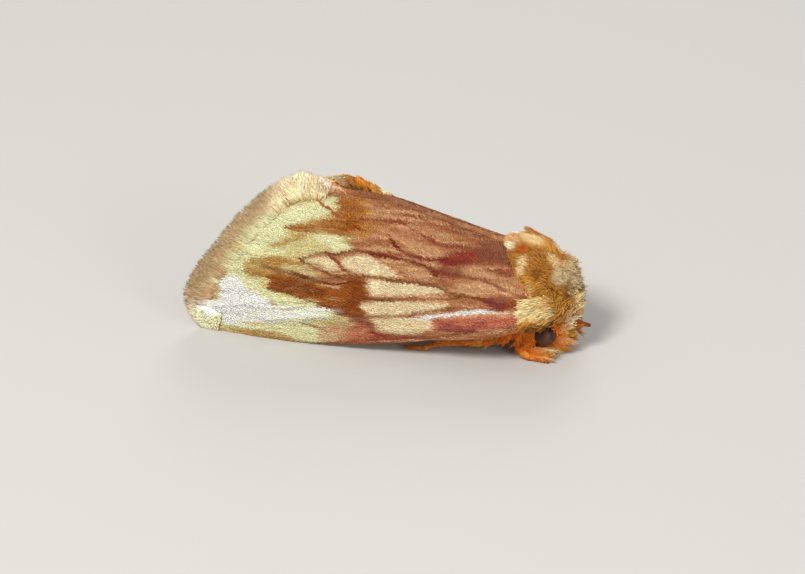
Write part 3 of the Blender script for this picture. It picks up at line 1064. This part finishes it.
def lock_hairs(root, out, lie, length, width, thick, stand, bend, count, clear=None, loose=LOOSE / 2):
    """Hairs that fill a flat tapered lock: their paths, the ways across and up, and their widths."""
    lie = unit(lie - out * (lie @ out))
    across = np.cross(out, lie)
    place = root - out * LOCK_SINK
    middle, rise, wide, deep = [], [], [], []
    for i in range(4):
        t = i / 3
        angle = math.radians(stand * (1.25 - bend * t))
        ahead = lie * math.cos(angle) + out * math.sin(angle)
        rise.append(out * math.cos(angle) - lie * math.sin(angle))
        if i:
            place = place + ahead * (length / 4)
        middle.append(place)
        wide.append(width * (0.8 + 0.2 * math.sin(math.pi * t)) * (1 - 0.35 * t) / 2)
        deep.append(thick * (1 - 0.45 * t) / 2)
    middle.append(place + ahead * (length / 4) * 1.3)
    rise.append(rise[-1])
    wide.append(0.3 * wide[-1])
    deep.append(0.25 * deep[-1])
    middle, rise = np.array(middle), np.array(rise)
    knots = np.linspace(0, 1, 5)
    start = RNG.uniform(0.08, 0.74, count)
    end = np.minimum(1.03, start + RNG.uniform(0.26, 0.42, count))
    side = RNG.uniform(-1, 1, count)
    level = RNG.uniform(0.62, 1.0, count)
    path = []
    for k in range(4):
        at = start + (end - start) * k / 3
        here = np.column_stack([np.interp(at, knots, middle[:, i]) for i in range(3)])
        up = np.column_stack([np.interp(at, knots, rise[:, i]) for i in range(3)])
        reach = np.interp(at, knots, wide) * side
        high = np.interp(at, knots, deep) * np.sqrt(np.maximum(0, 1 - side**2)) * level
        flare = 0.0 if k == 0 else 0.02 * k
        path.append(here + across * reach[:, None] + up * (high + flare)[:, None])
    path = np.stack(path, 1)
    path = path + across * STRAY * loose * RNG.standard_normal((count, 1, 1))
    path = path + up[:, None] * STRAY * 0.7 * loose * RNG.standard_normal((count, 1, 1))
    if clear is not None:
        path, keep = within_reach(path)
        path, up = over_wing(path[keep], clear), up[keep]
    ahead = unit(path[:, 3] - path[:, 0])
    sideways = unit(np.cross(up, ahead))
    return path, sideways, np.cross(ahead, sideways), RNG.uniform(0.035, 0.065, len(path))


def gathered(parts):
    """The hairs of many locks as one set of arrays."""
    return [np.concatenate(values) for values in zip(*parts)]


SHORT_HAIRS = {"thorax": 16000, "head": 8000, "abdomen": 7000}


def hair_roots(which, keep_test):
    """Roots of short hair all over a body, where a test keeps them."""
    ways = random_ways(SHORT_HAIRS[which])
    root, out = on_egg(which, ways, -SKIN_DEPTH)
    keep = keep_test(root)
    return root[keep], out[keep]


# Fine locks of the right side, which the left side mirrors: root, tip, width, thickness, stand, hairs, and
# the colours of root and tip. The first ones lie over the wing's base.
TEGULA_LOCKS = [
    ((7.17, -1.35, 2.74), (5.97, -2.45, 3.0), 0.55, 0.3, 8, 520, COAT_GOLD, COAT_YELLOW),
    ((7.22, -1.35, 2.47), (5.93, -2.6, 2.75), 0.6, 0.3, 8, 560, COAT_CREAM, COAT_YELLOW),
    ((7.19, -1.35, 2.19), (6.02, -2.6, 2.44), 0.6, 0.3, 8, 560, COAT_GOLD, COAT_CREAM),
    ((7.07, -1.35, 1.94), (6.09, -2.55, 2.15), 0.45, 0.25, 8, 400, COAT_BROWN, COAT_GOLD),
    ((6.9, -1.35, 1.75), (6.05, -2.45, 1.75), 0.45, 0.25, 8, 360, COAT_BROWN, COAT_OCHRE),
]
NECK_LOCKS = [
    ((7.66, -0.75, 2.82), (7.08, -1.45, 2.18), 0.6, 0.35, 10, 380, COAT_OCHRE, COAT_GOLD),
    ((7.81, -0.65, 2.47), (7.28, -1.35, 1.97), 0.6, 0.35, 10, 380, COAT_BUFF, COAT_OCHRE),
    ((7.37, -0.8, 3.04), (6.96, -1.5, 2.51), 0.6, 0.35, 10, 380, COAT_OCHRE, COAT_GOLD),
    ((7.05, -0.95, 3.2), (6.7, -1.7, 2.75), 0.6, 0.35, 10, 380, COAT_OCHRE, COAT_GOLD),
    ((7.16, -0.4, 4.05), (7.62, -0.35, 3.86), 0.55, 0.3, 10, 380, COAT_BUFF, COAT_GREY),
    ((7.2, -0.5, 3.73), (7.72, -0.45, 3.42), 0.55, 0.3, 10, 380, COAT_BUFF, COAT_GREY),
    ((7.08, -0.7, 3.45), (7.53, -0.7, 3.11), 0.55, 0.3, 10, 380, COAT_BUFF, COAT_GREY),
    ((7.3, -0.3, 3.7), (7.84, -0.28, 3.2), 0.6, 0.3, 10, 380, COAT_BUFF, COAT_GREY),
]
FLANK_LOCKS = [
    ((6.4, -1.15, 1.6), (6.2, -1.35, 0.62), 0.65, 0.45, 12, 480, COAT_ORANGE, COAT_ORANGE),
    ((6.3, -1.15, 1.1), (5.98, -1.35, 0.34), 0.55, 0.4, 12, 420, COAT_ORANGE, COAT_ORANGE),
    ((6.02, -1.3, 1.57), (5.72, -1.35, 0.75), 0.6, 0.4, 12, 420, COAT_ORANGE, COAT_ORANGE),
    ((5.61, -1.3, 1.32), (5.06, -1.4, 0.67), 0.6, 0.4, 12, 420, COAT_ORANGE, COAT_ORANGE),
    ((5.15, -1.3, 1.06), (4.42, -1.4, 0.48), 0.6, 0.4, 12, 380, COAT_ORANGE, COAT_GOLD),
    ((4.62, -1.2, 0.78), (3.81, -1.3, 0.28), 0.5, 0.35, 10, 340, COAT_ORANGE, COAT_GOLD),
    ((4.05, -1.1, 0.6), (3.18, -1.2, 0.25), 0.5, 0.3, 10, 300, COAT_ORANGE, COAT_GOLD),
]
HEAD_LOCKS = [
    ((7.35, -0.6, 2.38), (7.98, -0.4, 2.66), 0.6, 0.4, 14, 520, COAT_BUFF, COAT_CREAM),
    ((7.28, -0.65, 2.16), (8.0, -0.5, 2.32), 0.6, 0.4, 14, 520, COAT_BUFF, COAT_CREAM),
    ((7.26, -0.7, 2.04), (7.92, -0.5, 2.05), 0.55, 0.4, 14, 460, COAT_OCHRE, COAT_BUFF),
    ((7.32, -0.5, 2.55), (7.74, -0.3, 2.9), 0.6, 0.4, 14, 520, COAT_BUFF, COAT_CREAM),
    ((7.16, -0.95, 1.51), (7.87, -0.6, 1.76), 0.38, 0.3, 12, 380, COAT_ORANGE, COAT_WHITE),
    ((7.17, -0.95, 1.32), (7.77, -0.65, 1.44), 0.34, 0.3, 12, 340, COAT_ORANGE, COAT_CREAM),
    ((7.05, -0.95, 1.11), (7.83, -0.5, 1.04), 0.45, 0.35, 12, 380, COAT_ORANGE, COAT_GOLD),
    ((7.01, -0.95, 0.87), (7.85, -0.5, 0.62), 0.5, 0.35, 12, 420, COAT_ORANGE, COAT_BUFF),
    ((6.97, -0.9, 0.65), (7.65, -0.5, 0.3), 0.45, 0.35, 12, 420, COAT_ORANGE, COAT_GOLD),
    ((6.84, -0.9, 0.58), (7.3, -0.6, 0.2), 0.4, 0.35, 12, 380, COAT_ORANGE, COAT_CREAM),
    ((6.56, -0.95, 0.55), (7.04, -0.8, 0.25), 0.35, 0.3, 12, 340, COAT_ORANGE, COAT_BUFF),
    ((7.21, -1.0, 1.77), (6.49, -1.5, 1.65), 0.35, 0.3, 12, 340, COAT_BROWN, COAT_BROWN),
    ((7.38, -0.8, 1.8), (7.24, -1.15, 1.52), 0.35, 0.3, 14, 340, COAT_BROWN, COAT_ORANGE),
]
FOOT_LOCKS = [
    ((6.28, -1.3, 0.42), (7.08, -1.2, 0.46), 0.36, 0.3, 10, 420, COAT_ORANGE, COAT_CREAM),
    ((6.2, -1.35, 0.28), (7.12, -1.25, 0.3), 0.4, 0.3, 10, 460, COAT_ORANGE, COAT_GOLD),
    ((6.3, -1.45, 0.2), (7.1, -1.45, 0.2), 0.35, 0.25, 10, 360, COAT_ORANGE, COAT_BUFF),
]
# Hair on the raised edge of the left forewing.
EDGE_LOCKS = [
    ((-0.05, 0.2, 5.6), (-0.7, 0.35, 5.95), 0.42, 0.16, 6, 320, COAT_GOLD, CREAM_BRIGHT),
    ((-0.5, 0.2, 5.76), (-1.15, 0.35, 6.2), 0.42, 0.16, 6, 320, COAT_OCHRE, COAT_GOLD),
    ((-0.95, 0.2, 5.94), (-1.65, 0.35, 6.4), 0.42, 0.16, 6, 320, COAT_BROWN, GOLD),
    ((-1.4, 0.2, 6.06), (-2.1, 0.35, 6.42), 0.42, 0.16, 6, 320, COAT_BROWN, TAN_BROWN),
    ((-1.8, 0.2, 6.08), (-2.5, 0.3, 6.24), 0.42, 0.16, 6, 320, COAT_BROWN, TAN),
]


def lock_between(root, tip, width, thick, stand, count, near, far, out=None, loose=LOOSE):
    """The hairs of a lock from one place to another, with their colours from root to tip."""
    root, tip = np.array(root), np.array(tip)
    middle = (root + tip) / 2
    if out is None:
        axis_z = np.interp(middle[0], [4.0, 5.75, 6.6, 7.0], [1.9, 2.5, 1.6, 1.3])
        out = middle - (middle[0] - 0.2, 0, axis_z)
    lie = unit(tip - root)
    out = unit(np.array(out) - lie * (lie @ out))
    length = np.linalg.norm(tip - root) / LOCK_REACH
    start = root + out * (LOCK_SINK - 0.3 * thick)
    form = (length, width, thick, stand, 1.0, count)
    path, across, up, wide = lock_hairs(start, out, lie, *form, loose=loose)
    path = path + lie * 1.5 * loose * RNG.standard_normal((count, 1, 1))
    share = np.clip((path - root) @ lie / (length * LOCK_REACH), 0, 1)
    share = np.clip(share + 0.2 * RNG.standard_normal((count, 1)), 0, 1)
    colour = near + (far - near) * share[..., None]
    return path, across, up, wide, colour


def both_sides(locks):
    """The hairs of locks that are given for the right side, and of their mirror images."""
    hairs = []
    for root, tip, *form in locks:
        for hand in (1, -1):
            flip = np.array([1, hand, 1])
            hairs.append(lock_between(np.array(root) * flip, np.array(tip) * flip, *form))
    return gathered(hairs)


def make_thorax_coat(materials):
    """Locks over the wings' roots, crest, tegulae and collar, with short hair between and below."""
    rows = []
    for row in range(COAT_ROWS):
        for roll in COAT_ROLLS:
            x = along(COAT_EDGE, abs(roll)) + COAT_FIRST_ROW + row * COAT_ROW_STEP
            if x > COAT_FRONT_X:
                continue
            polar = math.degrees(math.acos((x - THORAX_AT[0]) / THORAX_HALF[0]))
            turned = roll + (6 if row % 2 else -2) * np.sign(roll)
            root, out = egg_root("thorax", polar, turned)
            stand = CREST_STAND if x > CREST_X and abs(roll) < CREST_ROLL else COAT_STAND
            lie = np.array([-1, 0, -0.35 * abs(math.sin(math.radians(roll)))])
            length = along(COAT_LENGTH, abs(roll))
            rows.append(lock_hairs(root, out, lie, length, *COAT_LOCK, stand, 1.1, 280, OVER_WING))
    coat_piece("thorax_coat_back", *gathered(rows), materials, "thorax_coat")
    front = []
    for polar, roll in TEGULA:
        for side in (-1, 1):
            root, out = egg_root("thorax", polar, roll * side)
            lie = np.array([-1, 0.7 * side, -0.25])
            front.append(lock_hairs(root, out, lie, 1.45, *COAT_LOCK, 16, 1.1, 460, OVER_WING))
    for polar, count, widest, stand in COLLAR:
        count = 2 * count - 1
        for i in range(count):
            roll = widest * (2 * i / (count - 1) - 1)
            root, out = egg_root("thorax", polar, roll)
            lie = np.array([0.6, 0.25 * math.sin(math.radians(roll)), -0.5])
            front.append(lock_hairs(root, out, lie, 1.0, 0.85, 0.5, stand - 4, 0.8, 250))
    coat_piece("thorax_coat_front", *gathered(front), materials, "thorax_coat")
    path, across, up, wide, tone = both_sides(TEGULA_LOCKS)
    path = over_wing(path, 0.06)
    coat_piece("thorax_coat_tegula", path, across, up, wide, materials, "thorax_coat", tone)
    path, across, up, wide, tone = both_sides(NECK_LOCKS + FLANK_LOCKS)
    coat_piece("thorax_coat_flank", path, across, up, wide, materials, "thorax_coat", tone)

    def seen(p):
        high, _, share = off_wing(p)
        under_wing = (high < -0.1) & (share > -0.2) & (p[:, 0] < along(BASE_X, up_wing(p, share)) + 0.05)
        in_head = np.sum(((p - HEAD_AT) / (HEAD_HALF - SKIN_DEPTH)) ** 2, 1) < 1
        return ~under_wing & ~in_head & (p[:, 0] > 4.2)

    root, out = hair_roots("thorax", seen)
    neck = np.array([7.3, 0, 2.6])
    lie = unit(root - neck) + np.array([-0.3, 0, 0])
    below = smooth(2.6, 1.9, root[:, 2])
    lie[:, 2] -= 0.5 * below
    length = (0.42 + 0.16 * below) * RNG.uniform(0.75, 1.15, len(root))
    stand = np.clip(16 + 6 * RNG.standard_normal(len(root)), 5, 40)
    path, across = bent_paths(root, out, lie, length, stand, 0.8, 3, 0.3 * RNG.standard_normal(len(root)))
    path, keep = within_reach(path)
    path = over_wing(path, 0.03)[keep]
    width = RNG.uniform(0.04, 0.08, keep.sum())
    coat_piece("thorax_coat_under", path, across[keep], out[keep], width, materials, "thorax_coat")


def make_head_coat(materials):
    """The tufts of crown and face, finest round the eyes."""
    tufts = []
    lie = np.array([1.0, 0.0, -0.1])
    for polar, centre, count, widest, length, stand in HEAD_TUFTS:
        count = 2 * count - 1
        for i in range(count):
            roll = centre + widest * (i / (count - 1) - 0.5)
            root, out = egg_root("head", polar, roll)
            tufts.append(lock_hairs(root, out, lie, length * 0.85, 0.62, 0.5, stand - 4, 0.6, 330))
    coat_piece("head_coat_tufts", *gathered(tufts), materials, "head_coat")
    path, across, up, wide, tone = both_sides(HEAD_LOCKS)
    coat_piece("head_coat_face", path, across, up, wide, materials, "head_coat", tone)

    def seen(p):
        inside = np.sum(((p - THORAX_AT) / (THORAX_HALF * (1, 0.62, 1))) ** 2, 1) < 0.93
        eye = np.min([np.linalg.norm(p - EYE_AT * (1, s, 1), axis=1) for s in (1, -1)], axis=0)
        return ~inside & (eye > EYE_RADIUS + 0.02)

    root, out = hair_roots("head", seen)
    eye = np.min([np.linalg.norm(root - EYE_AT * (1, s, 1), axis=1) for s in (1, -1)], axis=0)
    hand = np.sign(root[:, 1])
    low = smooth(1.3, 0.6, root[:, 2])
    lie = np.column_stack([0.8 + 0 * low, 0.35 * hand, 0.35 - 1.1 * low])
    length = (0.3 + 0.12 * low) * RNG.uniform(0.75, 1.15, len(root)) * (0.6 + 0.4 * smooth(0.52, 0.8, eye))
    stand = np.clip(24 + 8 * RNG.standard_normal(len(root)), 8, 60)
    path, across = bent_paths(root, out, lie, length, stand, 0.7, 2, 0.3 * RNG.standard_normal(len(root)))
    width = RNG.uniform(0.035, 0.06, len(root))
    coat_piece("head_coat_short", path, across, out, width, materials, "head_coat")


def make_abdomen_coat(materials):
    """Short hair scales that lie back, longer at the tail."""
    root, out = hair_roots("abdomen", lambda p: p[:, 0] < 3.9)
    lie = np.tile([-1.0, 0.0, -0.08], (len(root), 1)) + 0.15 * RNG.standard_normal((len(root), 3))
    tail = smooth(-2.4, -3.4, root[:, 0])
    length = (0.3 + 0.3 * tail) * RNG.uniform(0.8, 1.15, len(root))
    stand = np.clip(11 + 4 * RNG.standard_normal(len(root)), 4, 30)
    path, across = bent_paths(root, out, lie, length, stand, 0.8, 2)
    width = RNG.uniform(0.06, 0.1, len(root))
    coat_piece("abdomen_coat_hair", path, across, out, width, materials, "abdomen_coat")


def make_edge_hair(materials):
    """The hair on the raised edge of the left forewing."""
    outward = (0.0, -0.7, 0.7)
    locks = [lock_between(*form, outward, LOOSE / 2) for form in EDGE_LOCKS]
    path, across, up, wide, tone = gathered(locks)
    tone = tone * RNG.uniform(0.8, 1.15, (len(path), 1, 1))
    place = wing_uv(path[:, 0, 0], path[:, 0, 2])
    hair_piece("forewing_edge_hair_left", path, across, up, wide, place, tone, materials)


def make_foot_hair(materials):
    """Longer hair on the front feet, pale at its ends."""
    path, across, up, wide, tone = both_sides(FOOT_LOCKS)
    tone = tone * RNG.uniform(0.85, 1.15, (len(path), 1, 1))
    place = ((path[:, 0, 0] - 5) / 3, (path[:, 0, 1] + 2) / 4)
    hair_piece("leg_front_foot_hair", path, across, up, wide, place, tone, materials)


# Limbs, feelers and eyes

def tube(route, radii, segments=14):
    """A closed tube along a route, with a radius for each of its points."""
    route = np.asarray(route)
    run = unit(np.gradient(route, axis=0))
    side = unit(np.cross(run, [0.0, 0.0, 1.0]))
    up = np.cross(side, run)
    turn = np.arange(segments) * 2 * math.pi / segments
    ring = np.cos(turn)[:, None, None] * side + np.sin(turn)[:, None, None] * up
    verts = (route[None] + ring * np.asarray(radii)[None, :, None]).reshape(-1, 3)
    rows = len(route)
    faces = grid_faces(segments, rows, closed=True)
    start, end = len(verts), len(verts) + 1
    i = np.arange(segments)
    j = (i + 1) % segments
    caps = np.vstack([np.stack([j * rows, i * rows, np.full(segments, start)], -1),
                      np.stack([i * rows + rows - 1, j * rows + rows - 1, np.full(segments, end)], -1)])
    near, far = route[:1] - run[:1] * radii[0] * 0.3, route[-1:] + run[-1:] * radii[-1] * 0.5
    verts = np.vstack([verts, near, far])
    return verts, np.vstack([faces, caps])


def limb_piece(name, route, radii, tone, materials, segments):
    """A limb as a closed tube with a colour for each point of its route, in place of its node."""
    verts, faces = tube(route, radii, segments)
    verts[:, 2] = np.maximum(verts[:, 2], 0.0)
    colours = np.vstack([np.tile(tone, (segments, 1)), tone[:1], tone[-1:]])
    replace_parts(new_mesh(name, verts, faces, materials["limb"], colours), name)


def limb_hair(route, radii, count, length, width, stand, spread=0.18):
    """Hair scales on a limb: paths, ways across and out, widths, and their places along and round it."""
    run = unit(np.gradient(route, axis=0))
    side = unit(np.cross(run, [0.0, 0.0, 1.0]))
    up = np.cross(side, run)
    at = RNG.uniform(0, len(route) - 1.001, count)
    turn = RNG.uniform(0, 2 * math.pi, count)
    i = at.astype(int)
    f = (at - i)[:, None]

    def between(values):
        return values[i] * (1 - f) + values[i + 1] * f

    out = np.cos(turn)[:, None] * between(side) + np.sin(turn)[:, None] * between(up)
    radius = between(np.asarray(radii)[:, None])
    root = between(route) + out * radius * 0.9
    lie = unit(between(run) + spread * RNG.standard_normal((count, 3)))
    lengths = length * RNG.uniform(0.7, 1.2, count) * (0.5 + 0.5 * radius[:, 0] / max(radii))
    widths = RNG.uniform(0.7, 1.2, count) * width
    path, across = bent_paths(root, unit(out), lie, lengths, np.full(count, stand), 0.8, 2)
    return root, path, across, unit(out), widths, at / len(route), turn / (2 * math.pi) * 0.98 + 0.01


# The leg's radius by the way along it.
LEG_RADII = [(0, 0.17), (0.25, 0.19), (0.42, 0.13), (0.5, 0.14), (0.66, 0.12), (0.72, 0.085), (1, 0.06)]
FOOT_START, FOOT_JOINTS = 0.68, 5  # where along the leg its foot begins
LEG_ORANGE, LEG_BROWN, LEG_PALE = linear(222, 112, 24), linear(150, 74, 18), linear(244, 168, 74)


def make_leg(pair, side, hand, materials):
    """A leg with its thigh, shin and jointed foot, and the scales on it."""
    route = smooth_route([(x, -y * side, z) for x, y, z in LEGS[pair]], 0.08)
    gone = np.linspace(0, 1, len(route))
    joints = np.cos((gone - FOOT_START) / (1 - FOOT_START) * 2 * math.pi * FOOT_JOINTS)
    radii = along(LEG_RADII, gone) + np.where(gone > FOOT_START, 0.012 * joints, 0)
    route[:, 2] = np.maximum(route[:, 2], radii)
    bands = smooth(0.2, 0.9, joints) * (gone > 0.66)
    tone = mix(LEG_ORANGE, LEG_BROWN, 0.6 * bands)
    name = f"leg_{pair}_{hand}"
    limb_piece(name, route, radii, tone, materials, 14)
    root, path, across, out, width, u, v = limb_hair(route, radii, 1500, 0.34, 0.06, 16.0)
    shade = mix(LEG_ORANGE, LEG_PALE, smooth(-0.3, 0.8, noise(root * 4, 61)))
    shade = mix(shade, LEG_BROWN, 0.45 * smooth(0.6, 0.9, u)) * RNG.uniform(0.8, 1.2, (len(root), 1))
    u = (list(LEGS).index(pair) + u) / 3 * 0.98 + 0.01
    hair_piece(name + "_scales", path, across, out, width, (u, v), shade, materials)


ANTENNA_JOINTS = 62
ANTENNA_PALE, ANTENNA_DARK = linear(176, 112, 56), linear(128, 72, 28)


def make_antenna(side, hand, materials):
    """A thread-like feeler in many short joints."""
    route = smooth_route([(x, -y * side, z) for x, y, z in ANTENNA], 0.05)
    gone = np.linspace(0, 1, len(route))
    joints = np.cos(gone * 2 * math.pi * ANTENNA_JOINTS)
    radii = np.interp(gone, [0, 0.06, 0.12, 1], [0.15, 0.14, 0.1, 0.05]) * (1 + 0.12 * joints)
    tone = mix(ANTENNA_PALE, ANTENNA_DARK, smooth(0.3, 0.9, joints))
    limb_piece(f"antenna_{hand}", route, radii, tone, materials, 12)


def make_palp(side, hand, materials):
    """A palp: a stout furry joint and a thinner bare end."""
    points = PALP_LEFT if side > 0 else PALP_RIGHT
    route = smooth_route([(x, -y * side, z) for x, y, z in points], 0.04)
    gone = np.linspace(0, 1, len(route))
    radii = np.interp(gone, [0, 0.5, 0.66, 0.7, 1], [0.16, 0.15, 0.12, 0.11, 0.075])
    tone = mix(COAT_ORANGE, LEG_BROWN, smooth(0.2, 0.7, gone))
    limb_piece(f"palp_{hand}", route, radii, tone, materials, 14)
    root, path, across, out, width, u, v = limb_hair(route, radii, 700, 0.16, 0.045, 14.0)
    shade = mix(COAT_ORANGE, LEG_BROWN, smooth(0.3, 0.8, u)) * RNG.uniform(0.8, 1.2, (len(root), 1))
    place = (u * 0.98 + 0.01, v)
    hair_piece(f"palp_{hand}_scales", path, across, out, width, place, shade, materials)


def make_eye(side, hand, materials):
    """A round compound eye."""
    bm = bmesh.new()
    bmesh.ops.create_icosphere(bm, subdivisions=5, radius=EYE_RADIUS - EYE_INSET)
    verts = np.array([v.co[:] for v in bm.verts]) + EYE_AT * (1, -side, 1)
    faces = np.array([[v.index for v in f.verts] for f in bm.faces])
    bm.free()
    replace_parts(new_mesh(f"eye_{hand}", verts, faces, materials["eye"]), f"eye_{hand}")


# Materials

def principled(name, roughness, specular, sheen=0.0):
    """A Principled material and its node tree."""
    made = bpy.data.materials.new(name)
    made.use_nodes = True
    shader = made.node_tree.nodes["Principled BSDF"]
    shader.inputs["Roughness"].default_value = roughness
    shader.inputs["Specular IOR Level"].default_value = specular
    shader.inputs["Sheen Weight"].default_value = sheen
    shader.inputs["Sheen Roughness"].default_value = 0.4
    return made, made.node_tree, shader


def painted(name, roughness, specular, sheen, detail, stretch, bump, contrast=0.12):
    """A material that takes its colour from the mesh, with fine stretched grain in colour and bump."""
    made, tree, shader = principled(name, roughness, specular, sheen)
    nodes, links = tree.nodes, tree.links
    paint = nodes.new("ShaderNodeVertexColor")
    paint.layer_name = "Colour"
    place = nodes.new("ShaderNodeTexCoord")
    spread = nodes.new("ShaderNodeMapping")
    spread.inputs["Scale"].default_value = stretch
    links.new(place.outputs["Object"], spread.inputs["Vector"])
    grain = nodes.new("ShaderNodeTexNoise")
    grain.inputs["Scale"].default_value = detail
    grain.inputs["Detail"].default_value = 3.0
    links.new(spread.outputs["Vector"], grain.inputs["Vector"])
    level = nodes.new("ShaderNodeMapRange")
    level.inputs["To Min"].default_value = 1 - contrast
    level.inputs["To Max"].default_value = 1 + contrast
    level.inputs["From Min"].default_value = 0.3
    level.inputs["From Max"].default_value = 0.7
    links.new(grain.outputs["Fac"], level.inputs["Value"])
    tint = nodes.new("ShaderNodeVectorMath")
    tint.operation = "SCALE"
    links.new(paint.outputs["Color"], tint.inputs[0])
    links.new(level.outputs["Result"], tint.inputs["Scale"])
    links.new(tint.outputs["Vector"], shader.inputs["Base Color"])
    relief = nodes.new("ShaderNodeBump")
    relief.inputs["Strength"].default_value = bump
    relief.inputs["Distance"].default_value = 0.00002
    links.new(grain.outputs["Fac"], relief.inputs["Height"])
    links.new(relief.outputs["Normal"], shader.inputs["Normal"])
    return made


EYE_DARK, EYE_BROWN = linear(44, 22, 14), linear(88, 48, 30)


def eye_material():
    """Dark glossy purple-brown with fine facets."""
    made, tree, shader = principled("eye", 0.45, 0.3)
    nodes, links = tree.nodes, tree.links
    shader.inputs["Coat Weight"].default_value = 0.06
    shader.inputs["Coat Roughness"].default_value = 0.3
    place = nodes.new("ShaderNodeTexCoord")
    cells = nodes.new("ShaderNodeTexVoronoi")
    cells.inputs["Scale"].default_value = 26000
    links.new(place.outputs["Object"], cells.inputs["Vector"])
    cloud = nodes.new("ShaderNodeTexNoise")
    cloud.inputs["Scale"].default_value = 2500
    links.new(place.outputs["Object"], cloud.inputs["Vector"])
    ramp = nodes.new("ShaderNodeValToRGB")
    ramp.color_ramp.elements[0].position = 0.35
    ramp.color_ramp.elements[0].color = (*EYE_DARK, 1)
    ramp.color_ramp.elements[1].position = 0.65
    ramp.color_ramp.elements[1].color = (*EYE_BROWN, 1)
    links.new(cloud.outputs["Fac"], ramp.inputs["Fac"])
    links.new(ramp.outputs["Color"], shader.inputs["Base Color"])
    relief = nodes.new("ShaderNodeBump")
    relief.inputs["Strength"].default_value = 0.5
    relief.inputs["Distance"].default_value = 0.00001
    links.new(cells.outputs["Distance"], relief.inputs["Height"])
    links.new(relief.outputs["Normal"], shader.inputs["Normal"])
    return made


def floor_material():
    made, tree, shader = principled("floor", 0.8, 0.2)
    shader.inputs["Base Color"].default_value = (0.5, 0.5, 0.49, 1)
    return made


# Camera and light

# Name, place in metres, size, power and colour.
LIGHTS = [
    ("key", (-0.06, -0.17, 0.2), 0.07, 0.72, (1.0, 0.96, 0.9)),
    ("fill", (0.2, -0.14, 0.08), 0.12, 0.2, (1.0, 0.95, 0.88)),
    ("back", (-0.02, 0.2, 0.14), 0.12, 0.18, (1.0, 0.97, 0.93)),
]
MOTH_MIDDLE = (0, 0, 0.003)


def look(obj, target):
    obj.rotation_euler = (Vector(target) - obj.location).to_track_quat("-Z", "Y").to_euler()


def make_camera():
    data = bpy.data.cameras.new("camera")
    data.lens = LENS
    data.sensor_width = SENSOR
    data.clip_start = 0.005
    data.clip_end = 20
    camera = bpy.data.objects.new("camera", data)
    camera.location = CAMERA_AT * MM
    look(camera, CAMERA_LOOK * MM)
    bpy.context.scene.collection.objects.link(camera)
    bpy.context.scene.camera = camera


def add_light(name, at, size, power, colour):
    data = bpy.data.lights.new(name, "AREA")
    data.color = colour
    data.size = size
    data.energy = power
    lamp = bpy.data.objects.new(name, data)
    lamp.location = at
    look(lamp, MOTH_MIDDLE)
    bpy.context.scene.collection.objects.link(lamp)


def make_stage():
    bpy.ops.mesh.primitive_plane_add(size=4)
    floor = bpy.context.object
    floor.name = "floor"
    floor.data.materials.append(floor_material())
    world = bpy.data.worlds.new("studio")
    world.use_nodes = True
    sky = world.node_tree.nodes["Background"]
    sky.inputs["Color"].default_value = (1.0, 0.99, 0.97, 1)
    sky.inputs["Strength"].default_value = 0.5
    bpy.context.scene.world = world
    for light in LIGHTS:
        add_light(*light)


def make_materials():
    return {
        "wing": painted("wing", 0.75, 0.12, 0.0, 16000, (0.35, 1, 1), 0.12),
        "scale": painted("scale", 0.62, 0.18, 0.0, 16000, (0.5, 1, 1), 0.15, 0.08),
        "skin": painted("skin", 0.85, 0.1, 0.0, 7000, (1, 1, 1), 0.5),
        "hair": painted("hair", 0.65, 0.15, 0.0, 9000, (1, 1, 1), 0.15, 0.1),
        "limb": painted("limb", 0.55, 0.25, 0.0, 12000, (1, 1, 1), 0.4),
        "eye": eye_material(),
    }


def make_moth():
    materials = make_materials()
    for side, hand in ((-1, "right"), (1, "left")):
        make_forewing(f"forewing_{hand}", side, materials)
        make_hindwing(f"hindwing_{hand}", side, materials)
        make_wing_scales(f"forewing_scales_{hand}", side, materials)
        make_fringe(f"forewing_fringe_{hand}", side, materials)
        make_ridge_hair(f"forewing_ridge_{hand}", side, materials)
        make_eye(side, hand, materials)
        make_antenna(side, hand, materials)
        make_palp(side, hand, materials)
        for pair in LEGS:
            make_leg(pair, side, hand, materials)
    make_skin(materials)
    make_thorax_coat(materials)
    make_head_coat(materials)
    make_abdomen_coat(materials)
    make_edge_hair(materials)
    make_foot_hair(materials)


bpy.context.scene.view_settings.view_transform = "Standard"
make_camera()
make_stage()
make_moth()
